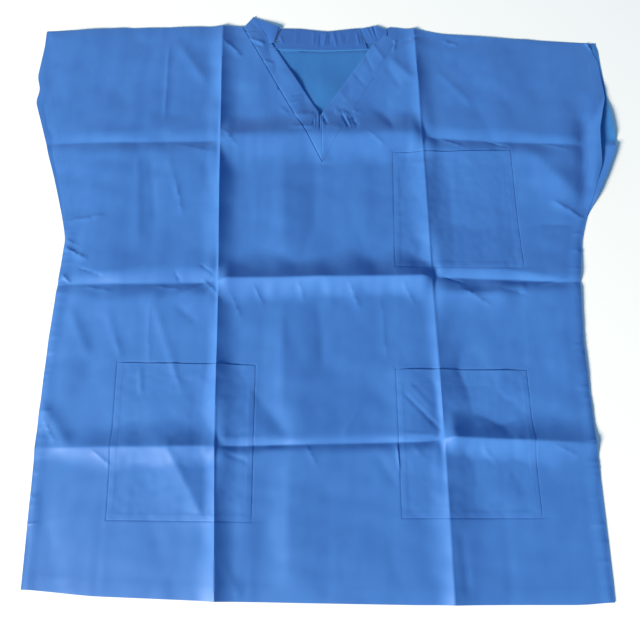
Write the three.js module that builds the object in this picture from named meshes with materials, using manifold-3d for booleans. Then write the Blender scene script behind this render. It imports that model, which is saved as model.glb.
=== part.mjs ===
// A scrub suit top: a V-neck work top with cap sleeves, cut from light nonwoven cloth, unfolded from its
// packet and laid flat on a table, face up. The packet's folds still cross it: two lengthwise and three
// across, ridges in one place and furrows in the next.
//
// Frame, in millimetres: +X to the right as the top is seen from above, +Y from the hem to the neck, +Z up.
// The origin is the middle of the outline, on the table.

import * as THREE from "three";
import { mergeVertices } from "three/addons/utils/BufferGeometryUtils.js";
import Module from "manifold-3d";

const wasm = await Module();
wasm.setup();
const { Manifold, Mesh: SolidMesh } = wasm;

// ---------------------------------------------------------------- driving dimensions

const HALF_SPAN = 380; // middle to the tip of either sleeve
const HALF_LENGTH = 377; // middle to the hem, and to the highest point of the neckband
const WALL = 1.2; // cloth, drawn thicker than the real nonwoven
const BAND_WALL = 1.6; // neckband, which is a strip folded double
const GAP = 0.3; // clear space between one piece and the next
const SEAM_ALLOWANCE = 8; // cloth of a panel that runs on under a neckband
const CUTTER_HEIGHT = 60; // taller than any fold

const CLOTH = { color: 0x3f74c4, roughness: 0.62, metalness: 0 };

// ---------------------------------------------------------------- the packet's folds

// Where the folds cross each other. A row for each fold across the top, and for the cloth's two ends.
// x of the lengthwise folds, and y at the left edge, at both lengthwise folds and at the right edge.
const MARGIN = 15; // the net runs this far past the outline
const FOLD_NET = [
  { name: "hem", xLeft: -114.4, xRight: 141.2, y: [-392, -392, -392, -392] },
  { name: "low", xLeft: -121.8, xRight: 139, y: [-210, -209, -200, -208.5] },
  { name: "waist", xLeft: -125.8, xRight: 133.2, y: [-13.6, -10.3, -4.6, -13.5] },
  { name: "chest", xLeft: -131.7, xRight: 128.8, y: [179, 185, 190.4, 173] },
  { name: "top", xLeft: -136, xRight: 123.3, y: [392, 392, 392, 392] },
];

// Heights of what runs lengthwise, where it meets the folds above, and how far it reaches to its left and
// right: the two ridges, and the shallow tent that the left ridge makes of the cloth on both sides of it.
const LENGTH_RIDGES = [
  { name: "left", hem: 6.5, low: 6.2, waist: 5.5, chest: 5.5, top: 4.5, before: 20, after: 27 },
  { name: "right", hem: 6, low: 5, waist: 3.5, chest: 4, top: 3, before: 20, after: 40 },
];
const TENT = { hem: 5.5, low: 5.8, waist: 4.5, chest: 1.5, top: 0, before: 190, after: 260 };

// How far each fold across stands up in the left, middle and right thirds, and how far it reaches below
// and above. Below zero it is a furrow, with the cloth on both sides of it standing up by that much.
const CROSS_FOLDS = [
  { name: "low", left: 6.4, middle: -3.3, right: 9.6, below: 25, above: 29 },
  { name: "waist", left: -5.8, middle: 10.2, right: -5.6, below: 25, above: 28 },
  { name: "chest", left: -3.9, middle: 7.9, right: -4.4, below: 27, above: 23 },
];

const FURROW_FADE = 95; // the cloth beside a furrow lies down again over this distance
const SIGN_CHANGE = 14; // a fold across turns from ridge to furrow over this width
const EDGE_SHARE = 0.3; // share of its height that a fold across keeps at a side edge
const EDGE_REACH = 70; // and how far inside the edge it has all of it
const RIDGE_END = 30; // the lengthwise ridges lie down over this distance below a shoulder

// Soft swellings between the folds: middle, half length along the turn, half width, turn in degrees from
// +X, height. Those marked front lift the front panel off the back one, at the neck and the gaping cuff.
const SWELLINGS = [
  { name: "left chest", x: -268, y: 95, along: 85, across: 34, turn: 92, height: 3 },
  { name: "left sleeve", x: -345, y: 280, along: 70, across: 26, turn: 84, height: 2.2 },
  { name: "left waist", x: -305, y: -105, along: 70, across: 20, turn: 86, height: 2.4 },
  { name: "left hem", x: -250, y: -300, along: 60, across: 40, turn: 80, height: 1.3 },
  { name: "left of the neckband", x: -100, y: 280, along: 60, across: 24, turn: -60, height: 2 },
  { name: "middle chest", x: -35, y: 75, along: 80, across: 26, turn: 90, height: 2 },
  { name: "middle waist", x: -28, y: -110, along: 75, across: 24, turn: 88, height: 2.2 },
  { name: "middle hem", x: -25, y: -300, along: 75, across: 24, turn: 88, height: 1.8 },
  { name: "right sleeve", x: 215, y: 290, along: 60, across: 44, turn: 80, height: 1.8 },
  { name: "right chest", x: 288, y: 130, along: 52, across: 32, turn: 70, height: 1.4 },
  { name: "right waist", x: 288, y: -120, along: 60, across: 24, turn: 80, height: 2.2 },
  { name: "above the right pocket", x: 106, y: -150, along: 42, across: 26, turn: 80, height: 2.2 },
  { name: "right of the neckband", x: 112, y: 262, along: 46, across: 18, turn: 80, height: 2.4 },
  { name: "chest pocket", x: 205, y: 88, along: 50, across: 26, turn: 84, height: 1.4 },
  { name: "left of the V", x: -31, y: 279, along: 24, across: 26, turn: -60, height: 1.5, front: true },
  { name: "beside the left run", x: -75, y: 300, along: 60, across: 26, turn: -60, height: 0.8, front: true },
  { name: "beside the right run", x: 60, y: 300, along: 62, across: 24, turn: 59, height: 1.2, front: true },
  { name: "below the V", x: 0, y: 214, along: 30, across: 22, turn: 0, height: 2, front: true },
  { name: "gaping cuff", x: 372, y: 205, along: 50, across: 27, turn: 84, height: 10, front: true },
];

// The broad creases of the front, each from its upper or left end to the other, and how far its flanks
// reach on its lower left and its upper right. One below zero is a furrow.
const CREASES = [
  { name: "raised corner of the lower left", from: [-186, -188], to: [-122, -300], height: 5.2, before: 38, after: 60 },
  { name: "pucker at the left seam", from: [-328, -156], to: [-286, -212], height: 2.4, before: 24, after: 20 },
  { name: "left waist", from: [-306, -38], to: [-274, -108], height: 1.5, before: 24, after: 15 },
  { name: "left chest", from: [-238, 178], to: [-226, 30], height: 1.9, before: 46, after: 22 },
  { name: "middle chest", from: [-50, 170], to: [-46, 6], height: 1.2, before: 40, after: 28 },
  { name: "middle waist", from: [-49, -22], to: [-44, -190], height: 1.5, before: 26, after: 24 },
  { name: "middle hem", from: [-42, -206], to: [-36, -374], height: 1.4, before: 34, after: 30 },
  { name: "below the right waist fold", from: [138, -23], to: [236, -25], height: 2.6, before: 26, after: 9 },
  { name: "hollow in the right pocket", from: [156, -92], to: [220, -206], height: -3.5, before: 36, after: 34 },
  { name: "from the V to the right fold", from: [60, 262], to: [96, 196], height: -1.9, before: 15, after: 26 },
  { name: "right of the neckband", from: [88, 312], to: [124, 272], height: 1.8, before: 14, after: 16 },
  { name: "right chest", from: [252, 184], to: [332, 92], height: 3, before: 42, after: 34 },
  { name: "furrow beside the right cuff", from: [343, 232], to: [331, 66], height: -4.6, before: 13, after: 18 },
];
const TAPER = 0.24; // share of a crease's length over which it dies away at each end

const BACK_SHARE = 0.5; // the back panel follows the folds by this much
const BACK_REST = 2.2; // and stays on the table wherever it would rise less than this
const SEAM_HUG = 40; // both panels rise together within this distance of a side or shoulder seam

// ---------------------------------------------------------------- the cut outline

// Half widths down the side seams and round the cap sleeves, from the hem up.
const SECTIONS = [
  { name: "low hip", y: -200, left: -328, right: 312 },
  { name: "hip", y: -83, left: -326, right: 310 },
  { name: "waist", y: -7, left: -322, right: 314 },
  { name: "left underarm", y: 46, left: -319, right: 322 },
  { name: "right underarm", y: 75, left: -326, right: 331 },
  { name: "sleeve", y: 100, left: -333, right: 345 },
  { name: "sleeve's run", y: 134, left: -343, right: 362 },
  { name: "below the right tip", y: 164, left: -353, right: 375 },
  { name: "right cuff's tip", y: 182, left: -358, right: HALF_SPAN },
  { name: "above the right tip", y: 210, left: -367, right: 379 },
  { name: "left cuff's bend", y: 243, left: -378, right: 376 },
  { name: "left cuff's notch", y: 262, left: -374.5, right: 376 },
  { name: "left cuff's tip", y: 281, left: -HALF_SPAN, right: 374.5 },
  { name: "upper cuff", y: 304, left: -378, right: 373 },
  { name: "cuff's top", y: 327, left: -376, right: 372.5 },
];
const HEM = [
  { x: -326, y: -361 },
  { x: -250, y: -368 },
  { x: -114, y: -373 },
  { x: 100, y: -HALF_LENGTH },
  { x: 281, y: -HALF_LENGTH },
  { x: 314, y: -374 },
];
const SHOULDER_LEFT = [
  { x: -374, y: 353 },
  { x: -276, y: 358 },
  { x: -112, y: 361 },
];
const SHOULDER_RIGHT = [
  { x: 92, y: 359 },
  { x: 130, y: 356 },
  { x: 162, y: 349 },
  { x: 241, y: 342 },
  { x: 366, y: 334 },
];

// The front's own cuff edges: it lies a little inside the back on the left, and gapes on the right.
const FRONT_CUFF_LEFT = [
  { x: -323, y: 66 },
  { x: -332, y: 110 },
  { x: -343, y: 149 },
  { x: -352, y: 182 },
  { x: -366, y: 235 },
  { x: -373, y: 264 },
  { x: -374, y: 281 },
  { x: -373, y: 313 },
  { x: -372, y: 352 },
];
const FRONT_CUFF_RIGHT = [
  { x: 344, y: 110 },
  { x: 350, y: 126 },
  { x: 358, y: 150 },
  { x: 359, y: 182 },
  { x: 360, y: 201 },
  { x: 367, y: 228 },
  { x: 373, y: 247 },
  { x: 371, y: 304 },
  { x: 364, y: 320 },
  { x: 363, y: 333 },
];

// ---------------------------------------------------------------- neck and pockets

// The V: its point inside the bands and the tip of their mitre. Each side has the band's inner and outer
// corners at the neck point.
const V_POINT = { x: -2, y: 222 };
const MITRE_TIP = { x: 0, y: 153 };
const NECK_LEFT = { inner: { x: -94, y: HALF_LENGTH }, outer: { x: -108, y: 358 } };
const NECK_RIGHT = { inner: { x: 82, y: 352 }, outer: { x: 97, y: 334 } };

// Back neckband: its lower seam and its upper edge. Its ends turn over along the front bands' inner
// edges, from the neck points down over these shares of the way to the V's point.
const BACK_BAND_SEAM = [
  { x: -62, y: 327 },
  { x: -2, y: 322 },
  { x: 61, y: 325 },
];
const BACK_BAND_EDGE = [
  { x: 88, y: 358 },
  { x: 72, y: 364 },
  { x: 50, y: 359 },
  { x: 6, y: 353 },
  { x: -56, y: 359 },
];
const TURNED_SHARE = {
  left: [0.01, 0.22],
  right: [-0.012, 0.1],
};
const BACK_BAND_LIFT = 5; // the turned ends climb this far to meet the front bands
const BACK_BAND_FLAT = 48; // and start to climb this far from the middle

const POCKETS = [
  {
    name: "chest_pocket",
    corners: [[91, 166], [129, 174], [138, 174], [164, 166], [241, 168], [246, 8], [89, 8]],
  },
  { name: "lower_pocket_left", corners: [[-241, -111], [-79, -115], [-79, -291], [-239, -289]] },
  { name: "lower_pocket_right", corners: [[86, -119], [239, -120], [243, -287], [88, -287]] },
];

// ---------------------------------------------------------------- the surface

const lerp = (a, b, t) => a + (b - a) * t;
const smooth = (t) => {
  const c = Math.min(1, Math.max(0, t));
  return c * c * (3 - 2 * c);
};

// Reads a column of a table between two of its rows.
function between(rows, key, value, column) {
  const last = rows.length - 1;
  let i = 0;
  while (i < last - 1 && value > rows[i + 1][key]) i += 1;
  const t = (value - rows[i][key]) / (rows[i + 1][key] - rows[i][key]);
  return lerp(rows[i][column], rows[i + 1][column], Math.min(1, Math.max(0, t)));
}

const EDGE = HALF_SPAN + MARGIN;
const netX = (row) => [-EDGE, row.xLeft, row.xRight, EDGE];

// A point of the fold net: i and j count its cells, and the fractions go across a cell.
function netPoint(column, row) {
  const i = Math.min(2, Math.floor(column));
  const j = Math.min(FOLD_NET.length - 2, Math.floor(row));
  const s = column - i;
  const t = row - j;
  const [low, high] = [FOLD_NET[j], FOLD_NET[j + 1]];
  const x = [i, i + 1].map((k) => lerp(netX(low)[k], netX(high)[k], t));
  const y = [i, i + 1].map((k) => lerp(low.y[k], high.y[k], t));
  return { x: lerp(x[0], x[1], s), y: lerp(y[0], y[1], s) };
}

// The fold net as rows that between() can read, with y on the lengthwise folds' own middle line.
const LENGTH_ROWS = FOLD_NET.map((row) => ({
  y: (row.y[1] + row.y[2]) / 2,
  xLeft: row.xLeft,
  xRight: row.xRight,
  left: LENGTH_RIDGES[0][row.name],
  right: LENGTH_RIDGES[1][row.name],
  tent: TENT[row.name],
}));

// 0 on a fold, 1 where its flank before or after it ends.
const shareOf = (distance, { before, after }) => Math.min(1, Math.abs(distance) / (distance < 0 ? before : after));
// 1 on a crest, falling ever more gently: a crease that has half opened again.
const halfOpened = (distance, reach) => (1 - shareOf(distance, reach)) ** 2;
// 1 on a crest, falling evenly and easing off late: a fold that still stands.
const roof = (distance, reach) => {
  const share = shareOf(distance, reach);
  return 1 - 1.5 * share + 0.5 * share ** 3;
};

// How far inside the side edges, and below the shoulder, a point is.
const insideSides = (x, y) => Math.min(x - between(SECTIONS, "y", y, "left"), between(SECTIONS, "y", y, "right") - x);
const belowShoulder = (x, y) => between(x < 0 ? SHOULDER_LEFT : SHOULDER_RIGHT, "x", x, "y") - y;

function crossFold(fold, x, y, xLeft, xRight) {
  const row = FOLD_NET.find((line) => line.name === fold.name);
  const line = netX(row).map((at, k) => ({ x: at, y: row.y[k] }));
  const distance = y - between(line, "x", x, "y");
  const pastLeft = smooth((x - xLeft) / SIGN_CHANGE + 0.5);
  const pastRight = smooth((x - xRight) / SIGN_CHANGE + 0.5);
  const third = lerp(lerp(fold.left, fold.middle, pastLeft), fold.right, pastRight);
  const height = third * lerp(EDGE_SHARE, 1, smooth(insideSides(x, y) / EDGE_REACH));
  const reach = { before: fold.below, after: fold.above };
  const fade = { before: FURROW_FADE, after: FURROW_FADE };
  return height > 0 ? height * roof(distance, reach) : -height * (halfOpened(distance, fade) - roof(distance, reach));
}

function swelling(bump, x, y) {
  const turn = THREE.MathUtils.degToRad(bump.turn);
  const along = (x - bump.x) * Math.cos(turn) + (y - bump.y) * Math.sin(turn);
  const across = (y - bump.y) * Math.cos(turn) - (x - bump.x) * Math.sin(turn);
  return bump.height * Math.exp(-((along / bump.along) ** 2) - (across / bump.across) ** 2);
}

function crease({ from, to, height, before, after }, x, y) {
  const [runX, runY] = [to[0] - from[0], to[1] - from[1]];
  const length = Math.hypot(runX, runY);
  const along = ((x - from[0]) * runX + (y - from[1]) * runY) / length ** 2;
  const aside = ((y - from[1]) * runX - (x - from[0]) * runY) / length;
  return height * smooth(along / TAPER) * smooth((1 - along) / TAPER) * halfOpened(aside, { before, after });
}

// How far the folds lift the cloth off the table.
function foldLift(x, y) {
  const xLeft = between(LENGTH_ROWS, "y", y, "xLeft");
  const xRight = between(LENGTH_ROWS, "y", y, "xRight");
  const [left, right] = LENGTH_RIDGES;
  const standing = smooth(belowShoulder(x, y) / RIDGE_END);
  let lift = standing * between(LENGTH_ROWS, "y", y, "left") * halfOpened(x - xLeft, left);
  lift += standing * between(LENGTH_ROWS, "y", y, "right") * halfOpened(x - xRight, right);
  lift += between(LENGTH_ROWS, "y", y, "tent") * (1 - shareOf(x - xLeft, TENT));
  for (const fold of CROSS_FOLDS) lift += crossFold(fold, x, y, xLeft, xRight);
  for (const bump of SWELLINGS) if (!bump.front) lift += swelling(bump, x, y);
  return lift;
}

// How far the front is lifted, by the folds and by its own swellings and creases.
function frontLift(x, y) {
  let lift = foldLift(x, y);
  for (const bump of SWELLINGS) if (bump.front) lift += swelling(bump, x, y);
  for (const row of CREASES) lift += crease(row, x, y);
  return Math.max(lift, backLift(x, y));
}

// The back follows the folds too: all the way at the side and shoulder seams, and less well inside them.
function backLift(x, y) {
  const inside = smooth(Math.min(insideSides(x, y), belowShoulder(x, y)) / SEAM_HUG);
  return Math.max(0, lerp(1, BACK_SHARE, inside) * foldLift(x, y) - BACK_REST * inside);
}

const FRONT_FLOOR = WALL + GAP; // underside of the front where nothing lifts it
const frontFloor = (x, y) => FRONT_FLOOR + frontLift(x, y);
const onFront = (x, y) => frontFloor(x, y) + WALL + GAP;

function onBack(x, y) {
  const climb = smooth((Math.abs(x) - BACK_BAND_FLAT) / (-NECK_LEFT.inner.x - BACK_BAND_FLAT));
  return backLift(x, y) + WALL + GAP + BACK_BAND_LIFT * climb;
}

// ---------------------------------------------------------------- solids

// Where the facets' lines run: close together beside a fold, wide apart in the middle of a cell.
const BESIDE_BOTH = [0, 0.035, 0.1, 0.25, 0.5, 0.75, 0.9, 0.965];
const COLUMN_STOPS = [[0, 0.15, 0.3, 0.5, 0.72, 0.89, 0.965], BESIDE_BOTH, [0, 0.035, 0.11, 0.28, 0.5, 0.7, 0.82, 0.91]];
const ROW_STOPS = [[0, 0.3, 0.6, 0.84, 0.955], BESIDE_BOTH, BESIDE_BOTH, [0, 0.045, 0.14, 0.35, 0.55, 0.75, 0.88]];
const stops = (cells) => [...cells.flatMap((list, cell) => list.map((t) => cell + t)), cells.length];

const COLUMNS = stops(COLUMN_STOPS);
const ROWS = stops(ROW_STOPS);

// A closed sheet over the whole fold net: its underside at floor(x, y), its face one wall higher.
function sheet(floor, wall) {
  const count = COLUMNS.length * ROWS.length;
  const positions = [];
  for (const rise of [0, wall]) {
    for (const row of ROWS) {
      for (const column of COLUMNS) {
        const { x, y } = netPoint(column, row);
        positions.push(x, y, floor(x, y) + rise);
      }
    }
  }
  const index = [];
  const at = (i, j, level) => level * count + j * COLUMNS.length + i;
  const quad = (a, b, c, d) => index.push(a, b, c, a, c, d);
  for (let j = 0; j < ROWS.length - 1; j += 1) {
    for (let i = 0; i < COLUMNS.length - 1; i += 1) {
      quad(at(i, j, 1), at(i + 1, j, 1), at(i + 1, j + 1, 1), at(i, j + 1, 1));
      quad(at(i, j, 0), at(i, j + 1, 0), at(i + 1, j + 1, 0), at(i + 1, j, 0));
    }
  }
  const [right, top] = [COLUMNS.length - 1, ROWS.length - 1];
  for (let i = 0; i < right; i += 1) {
    quad(at(i, 0, 0), at(i + 1, 0, 0), at(i + 1, 0, 1), at(i, 0, 1));
    quad(at(i + 1, top, 0), at(i, top, 0), at(i, top, 1), at(i + 1, top, 1));
  }
  for (let j = 0; j < top; j += 1) {
    quad(at(0, j + 1, 0), at(0, j, 0), at(0, j, 1), at(0, j + 1, 1));
    quad(at(right, j, 0), at(right, j + 1, 0), at(right, j + 1, 1), at(right, j, 1));
  }
  return new Manifold(new SolidMesh({
    numProp: 3,
    vertProperties: new Float32Array(positions),
    triVerts: new Uint32Array(index),
  }));
}

// An upright cutter with the given outline.
function cutter(outline) {
  const shape = new THREE.Shape(outline.map(({ x, y }) => new THREE.Vector2(x, y)));
  const prism = new THREE.ExtrudeGeometry(shape, { depth: CUTTER_HEIGHT, bevelEnabled: false });
  prism.translate(0, 0, -CUTTER_HEIGHT / 2);
  prism.deleteAttribute("normal");
  prism.deleteAttribute("uv");
  const closed = mergeVertices(prism);
  return new Manifold(new SolidMesh({
    numProp: 3,
    vertProperties: new Float32Array(closed.attributes.position.array),
    triVerts: new Uint32Array(closed.index.array),
  }));
}

function piece(name, solid) {
  const { numProp, vertProperties, triVerts } = solid.getMesh();
  const geometry = new THREE.BufferGeometry();
  const positions = [];
  for (const v of triVerts) positions.push(...vertProperties.slice(v * numProp, v * numProp + 3));
  geometry.setAttribute("position", new THREE.Float32BufferAttribute(positions, 3));
  geometry.computeVertexNormals();
  const mesh = new THREE.Mesh(geometry, new THREE.MeshStandardMaterial(CLOTH));
  mesh.name = name;
  return mesh;
}

// ---------------------------------------------------------------- outlines

const column = (side) => SECTIONS.map((row) => ({ x: row[side], y: row.y }));
const reversed = (line) => [...line].reverse();

// A point a share of the way from a to b, moved sideways off that line, to its left if aside is above zero.
function beside(a, b, share, aside) {
  const length = Math.hypot(b.x - a.x, b.y - a.y);
  return {
    x: lerp(a.x, b.x, share) - ((b.y - a.y) / length) * aside,
    y: lerp(a.y, b.y, share) + ((b.x - a.x) / length) * aside,
  };
}

const BACK_NECKLINE = [
  { x: 80, y: 352 },
  ...reversed(BACK_BAND_SEAM).map(({ x, y }) => ({ x, y: y + SEAM_ALLOWANCE })),
  { x: -88, y: 354 },
];
const BACK_OUTLINE = [
  ...HEM,
  ...column("right"),
  ...reversed(SHOULDER_RIGHT),
  ...BACK_NECKLINE,
  ...reversed(SHOULDER_LEFT),
  ...reversed(column("left")),
];

const UNDERARM_LEFT = SECTIONS.findIndex((row) => row.name === "left underarm");
const UNDERARM_RIGHT = SECTIONS.findIndex((row) => row.name === "right underarm");
const NOTCH = [
  beside(MITRE_TIP, NECK_RIGHT.outer, 1, SEAM_ALLOWANCE),
  { x: 0, y: MITRE_TIP.y + 2 * SEAM_ALLOWANCE },
  beside(NECK_LEFT.outer, MITRE_TIP, 0, SEAM_ALLOWANCE),
];
const FRONT_OUTLINE = [
  ...HEM,
  ...column("right").slice(0, UNDERARM_RIGHT + 1),
  ...FRONT_CUFF_RIGHT,
  ...reversed(SHOULDER_RIGHT.slice(0, -1)),
  ...NOTCH,
  ...reversed(SHOULDER_LEFT.slice(1)),
  ...reversed(FRONT_CUFF_LEFT),
  ...reversed(column("left").slice(0, UNDERARM_LEFT + 1)),
];

const BAND_LEFT = [NECK_LEFT.outer, MITRE_TIP, V_POINT, NECK_LEFT.inner];
const BAND_RIGHT = [
  { x: MITRE_TIP.x + GAP, y: MITRE_TIP.y + 2 * GAP },
  NECK_RIGHT.outer,
  NECK_RIGHT.inner,
  { x: V_POINT.x + GAP, y: V_POINT.y },
];
const BAND_BACK = [
  beside(NECK_LEFT.inner, V_POINT, TURNED_SHARE.left[1], GAP),
  ...BACK_BAND_SEAM,
  beside(V_POINT, NECK_RIGHT.inner, 1 - TURNED_SHARE.right[1], GAP),
  beside(V_POINT, NECK_RIGHT.inner, 1 - TURNED_SHARE.right[0], GAP),
  ...BACK_BAND_EDGE,
  beside(NECK_LEFT.inner, V_POINT, TURNED_SHARE.left[0], GAP),
];

// ---------------------------------------------------------------- the top

const top = new THREE.Group();
top.name = "scrub_suit_top";

const backSheet = sheet(backLift, WALL);
const frontSheet = sheet(frontFloor, WALL);
const onFrontSheet = sheet(onFront, WALL);
const onFrontBand = sheet(onFront, BAND_WALL);
const onBackBand = sheet(onBack, BAND_WALL);

top.add(piece("back_panel", backSheet.intersect(cutter(BACK_OUTLINE))));
top.add(piece("front_panel", frontSheet.intersect(cutter(FRONT_OUTLINE))));
top.add(piece("neckband_left", onFrontBand.intersect(cutter(BAND_LEFT))));
top.add(piece("neckband_right", onFrontBand.intersect(cutter(BAND_RIGHT))));
top.add(piece("neckband_back", onBackBand.intersect(cutter(BAND_BACK))));
for (const { name, corners } of POCKETS) {
  const outline = corners.map(([x, y]) => ({ x, y }));
  top.add(piece(name, onFrontSheet.intersect(cutter(outline))));
}

export default top;
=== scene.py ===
# %% [markdown]
# # A scrub suit top, unfolded and laid flat
#
# The real top is eight pieces of thin blue nonwoven: a front and a back with their half sleeves cut in
# one, a neckband in three runs, and three patch pockets. It has just come out of its packet, so the
# packet's folds cross it, and what the eye reads is mostly how light falls on those folds. This lesson
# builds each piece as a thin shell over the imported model's solid, folds first, then creases, then thread.

# %% Load the frame
import math

import bmesh
import bpy
import mathutils
import numpy as np
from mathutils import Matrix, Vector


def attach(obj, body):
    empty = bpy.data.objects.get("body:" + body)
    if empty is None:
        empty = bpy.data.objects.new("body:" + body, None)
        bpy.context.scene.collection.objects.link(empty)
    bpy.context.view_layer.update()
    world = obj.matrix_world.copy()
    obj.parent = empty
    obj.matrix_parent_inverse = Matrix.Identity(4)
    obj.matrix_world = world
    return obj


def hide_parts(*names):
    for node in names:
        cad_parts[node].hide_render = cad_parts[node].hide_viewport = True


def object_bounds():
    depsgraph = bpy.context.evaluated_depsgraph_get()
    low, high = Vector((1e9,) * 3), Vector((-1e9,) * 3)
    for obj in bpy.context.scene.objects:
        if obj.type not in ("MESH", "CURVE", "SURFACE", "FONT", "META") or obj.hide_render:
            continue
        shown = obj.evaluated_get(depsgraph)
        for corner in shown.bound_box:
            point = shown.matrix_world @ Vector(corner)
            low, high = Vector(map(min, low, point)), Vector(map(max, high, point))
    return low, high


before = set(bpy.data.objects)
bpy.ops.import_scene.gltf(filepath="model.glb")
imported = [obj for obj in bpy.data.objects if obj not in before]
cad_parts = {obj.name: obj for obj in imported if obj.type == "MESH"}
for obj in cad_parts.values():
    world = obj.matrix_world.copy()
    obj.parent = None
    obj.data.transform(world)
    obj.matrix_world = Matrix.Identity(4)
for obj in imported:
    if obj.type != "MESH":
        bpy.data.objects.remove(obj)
CAD_LOW, CAD_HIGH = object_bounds()
print("frame", [round(v, 4) for v in (*CAD_LOW, *CAD_HIGH)])

# %% [markdown]
# ## The camera
#
# The top is seen by someone who stands at its hem and looks down on it, leaning a little towards the
# neck, so the hem is nearer and looks wider. A longer lens from higher up would flatten that away. A
# 40 mm lens at just over 0.8 m keeps it, as the eye has it.

# %% The camera
CAMERA_HEIGHT = 0.829
CAMERA_LEAN = math.radians(16.7)
CAMERA_ABOVE_HEM = 0.071  # how far the camera stands in from the hem
CAMERA_ASIDE = -0.003
LENS, SENSOR = 40.5, 36.0  # in millimetres

camera = bpy.data.objects.new("camera", bpy.data.cameras.new("camera"))
camera.data.sensor_width = SENSOR
camera.data.lens = LENS
camera.location = (CAMERA_ASIDE, CAD_LOW.y + CAMERA_ABOVE_HEM, CAMERA_HEIGHT)
camera.rotation_euler = (CAMERA_LEAN, 0.0, 0.0)
bpy.context.scene.collection.objects.link(camera)
bpy.context.scene.camera = camera
print("camera at", [round(v, 3) for v in camera.location])

# %% [markdown]
# ## How the layers lie
#
# All shapes below are worked out in millimetres over the table, x across and y towards the neck, and
# become metres only when a mesh is made. Each layer of cloth lies a little above the one under it. A
# cloth simulation would let the layers settle, but it would smooth the pressed folds away, so the
# height of every layer is worked out from the same folds instead.

# %% Layers
MM = 0.001
CLOTH = 0.35  # how thick a single layer is drawn
BACK_FLOOR = 0.1  # underside of the back panel where nothing lifts it
FRONT_FLOOR = 1.3  # underside of the front panel
SINK = 0.95  # how far a seam can pull the front down onto the back
CLEAR = 0.12  # least gap left between the back and the front
ROOM = FRONT_FLOOR - BACK_FLOOR - CLOTH - CLEAR  # how much more the back can rise than the front
ON_FRONT = 0.42  # from the front's underside to that of a pocket or neckband on it
NEAR = 1.4  # mesh step beside a fold
FAR = 4.0  # mesh step in the open cloth
print(f"the front lies {FRONT_FLOOR} mm up, and the back can rise {ROOM:.2f} mm more than it")

# %% [markdown]
# ## Reading the outline off the frame
#
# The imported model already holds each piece's cut, so its outline is measured there rather than typed in
# again: a piece is sliced at many places, and the ends of each slice are two points of its outline.

# %% Outline helpers
def edges_of(node):
    """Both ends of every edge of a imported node, in millimetres."""
    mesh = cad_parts[node].data
    points = np.array([v.co for v in mesh.vertices]) / MM
    pairs = np.array([e.vertices for e in mesh.edges])
    return points[pairs[:, 0]], points[pairs[:, 1]]


def slices(node, axis, at):
    """Where a node begins and ends along the other axis, when sliced at each place along this one."""
    a, b = edges_of(node)
    low, high = np.minimum(a, b)[:, axis], np.maximum(a, b)[:, axis]
    ends = []
    for place in at:
        crossing = (low <= place) & (high > place)
        share = (place - a[crossing, axis]) / (b[crossing, axis] - a[crossing, axis])
        cut = a[crossing, 1 - axis] + share * (b[crossing, 1 - axis] - a[crossing, 1 - axis])
        ends.append((cut.min(), cut.max()))
    return np.array(ends).T


def line(at, values, soften=0):
    """A line as a function, its bends rounded over a few of its stations."""
    if soften:
        window = np.hanning(2 * soften + 3)[1:-1]
        padded = np.pad(values, soften, mode="edge")
        values = np.convolve(padded, window / window.sum(), mode="valid")
    return lambda place: np.interp(place, at, values)


def corner(node, toward_x, toward_y):
    """The corner of a node that reaches furthest in one direction, as x and y in millimetres."""
    a, b = edges_of(node)
    points = np.concatenate([a, b])
    return points[np.argmax(points[:, 0] * toward_x + points[:, 1] * toward_y), :2]


# %% [markdown]
# ## Lines of the cut
#
# Every seam, hem and fold below is placed from these lines: each panel's two side edges, its hem and
# its shoulders as smooth functions, for each pocket its four straight edges, and the corners of the V.
# Kept as functions, they can be asked for at any place, however fine a mesh is.

# %% Lines of the panels
# Where each side edge, hem, shoulder and neckline is sliced.
SIDE_STATIONS = np.arange(-357.0, 331.0, 3.0)
HEM_STATIONS = np.arange(-322.0, 311.0, 4.0)
SHOULDER_STATIONS = np.concatenate([np.arange(-368.0, -112.0, 4.0), np.arange(102.0, 361.0, 4.0)])
NECKLINE_STATIONS = np.arange(-368.0, 361.0, 2.0)


def outline(node, shoulder_stations):
    """Side edges as functions of y, hem and shoulder as functions of x."""
    left, right = slices(node, 1, SIDE_STATIONS)
    hem = slices(node, 0, HEM_STATIONS)[0]
    shoulder = slices(node, 0, shoulder_stations)[1]
    return {
        "left": line(SIDE_STATIONS, left, soften=2),
        "right": line(SIDE_STATIONS, right, soften=2),
        "hem": line(HEM_STATIONS, hem, soften=4),
        "shoulder": line(shoulder_stations, shoulder, soften=2),
    }


FRONT = outline("front_panel", SHOULDER_STATIONS)
BACK = outline("back_panel", NECKLINE_STATIONS)
print(f"across the waist: {float(FRONT['right'](0.0) - FRONT['left'](0.0)):.1f} mm")


# %% Lines of the pockets
def straight(node, first, second, axis):
    """The edge between two corners of a node, as a function of y (axis 1) or of x (axis 0)."""
    a, b = corner(node, *first), corner(node, *second)
    slope = (b[1 - axis] - a[1 - axis]) / (b[axis] - a[axis])
    return lambda place: a[1 - axis] + slope * (place - a[axis])


POCKETS = {
    node: {
        "left": straight(node, (-1, 1), (-1, -1), 1),
        "right": straight(node, (1, 1), (1, -1), 1),
        "bottom": straight(node, (-1, -1), (1, -1), 0),
        "mouth": straight(node, (-1, 1), (1, 1), 0),
    }
    for node in ("chest_pocket", "lower_pocket_left", "lower_pocket_right")
}


def inside(pocket, x, y):
    """How far inside a pocket a point is: from its nearest sewn edge, and from its mouth."""
    sewn = np.minimum(x - pocket["left"](y), pocket["right"](y) - x)
    return np.minimum(sewn, y - pocket["bottom"](x)), pocket["mouth"](x) - y


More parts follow.
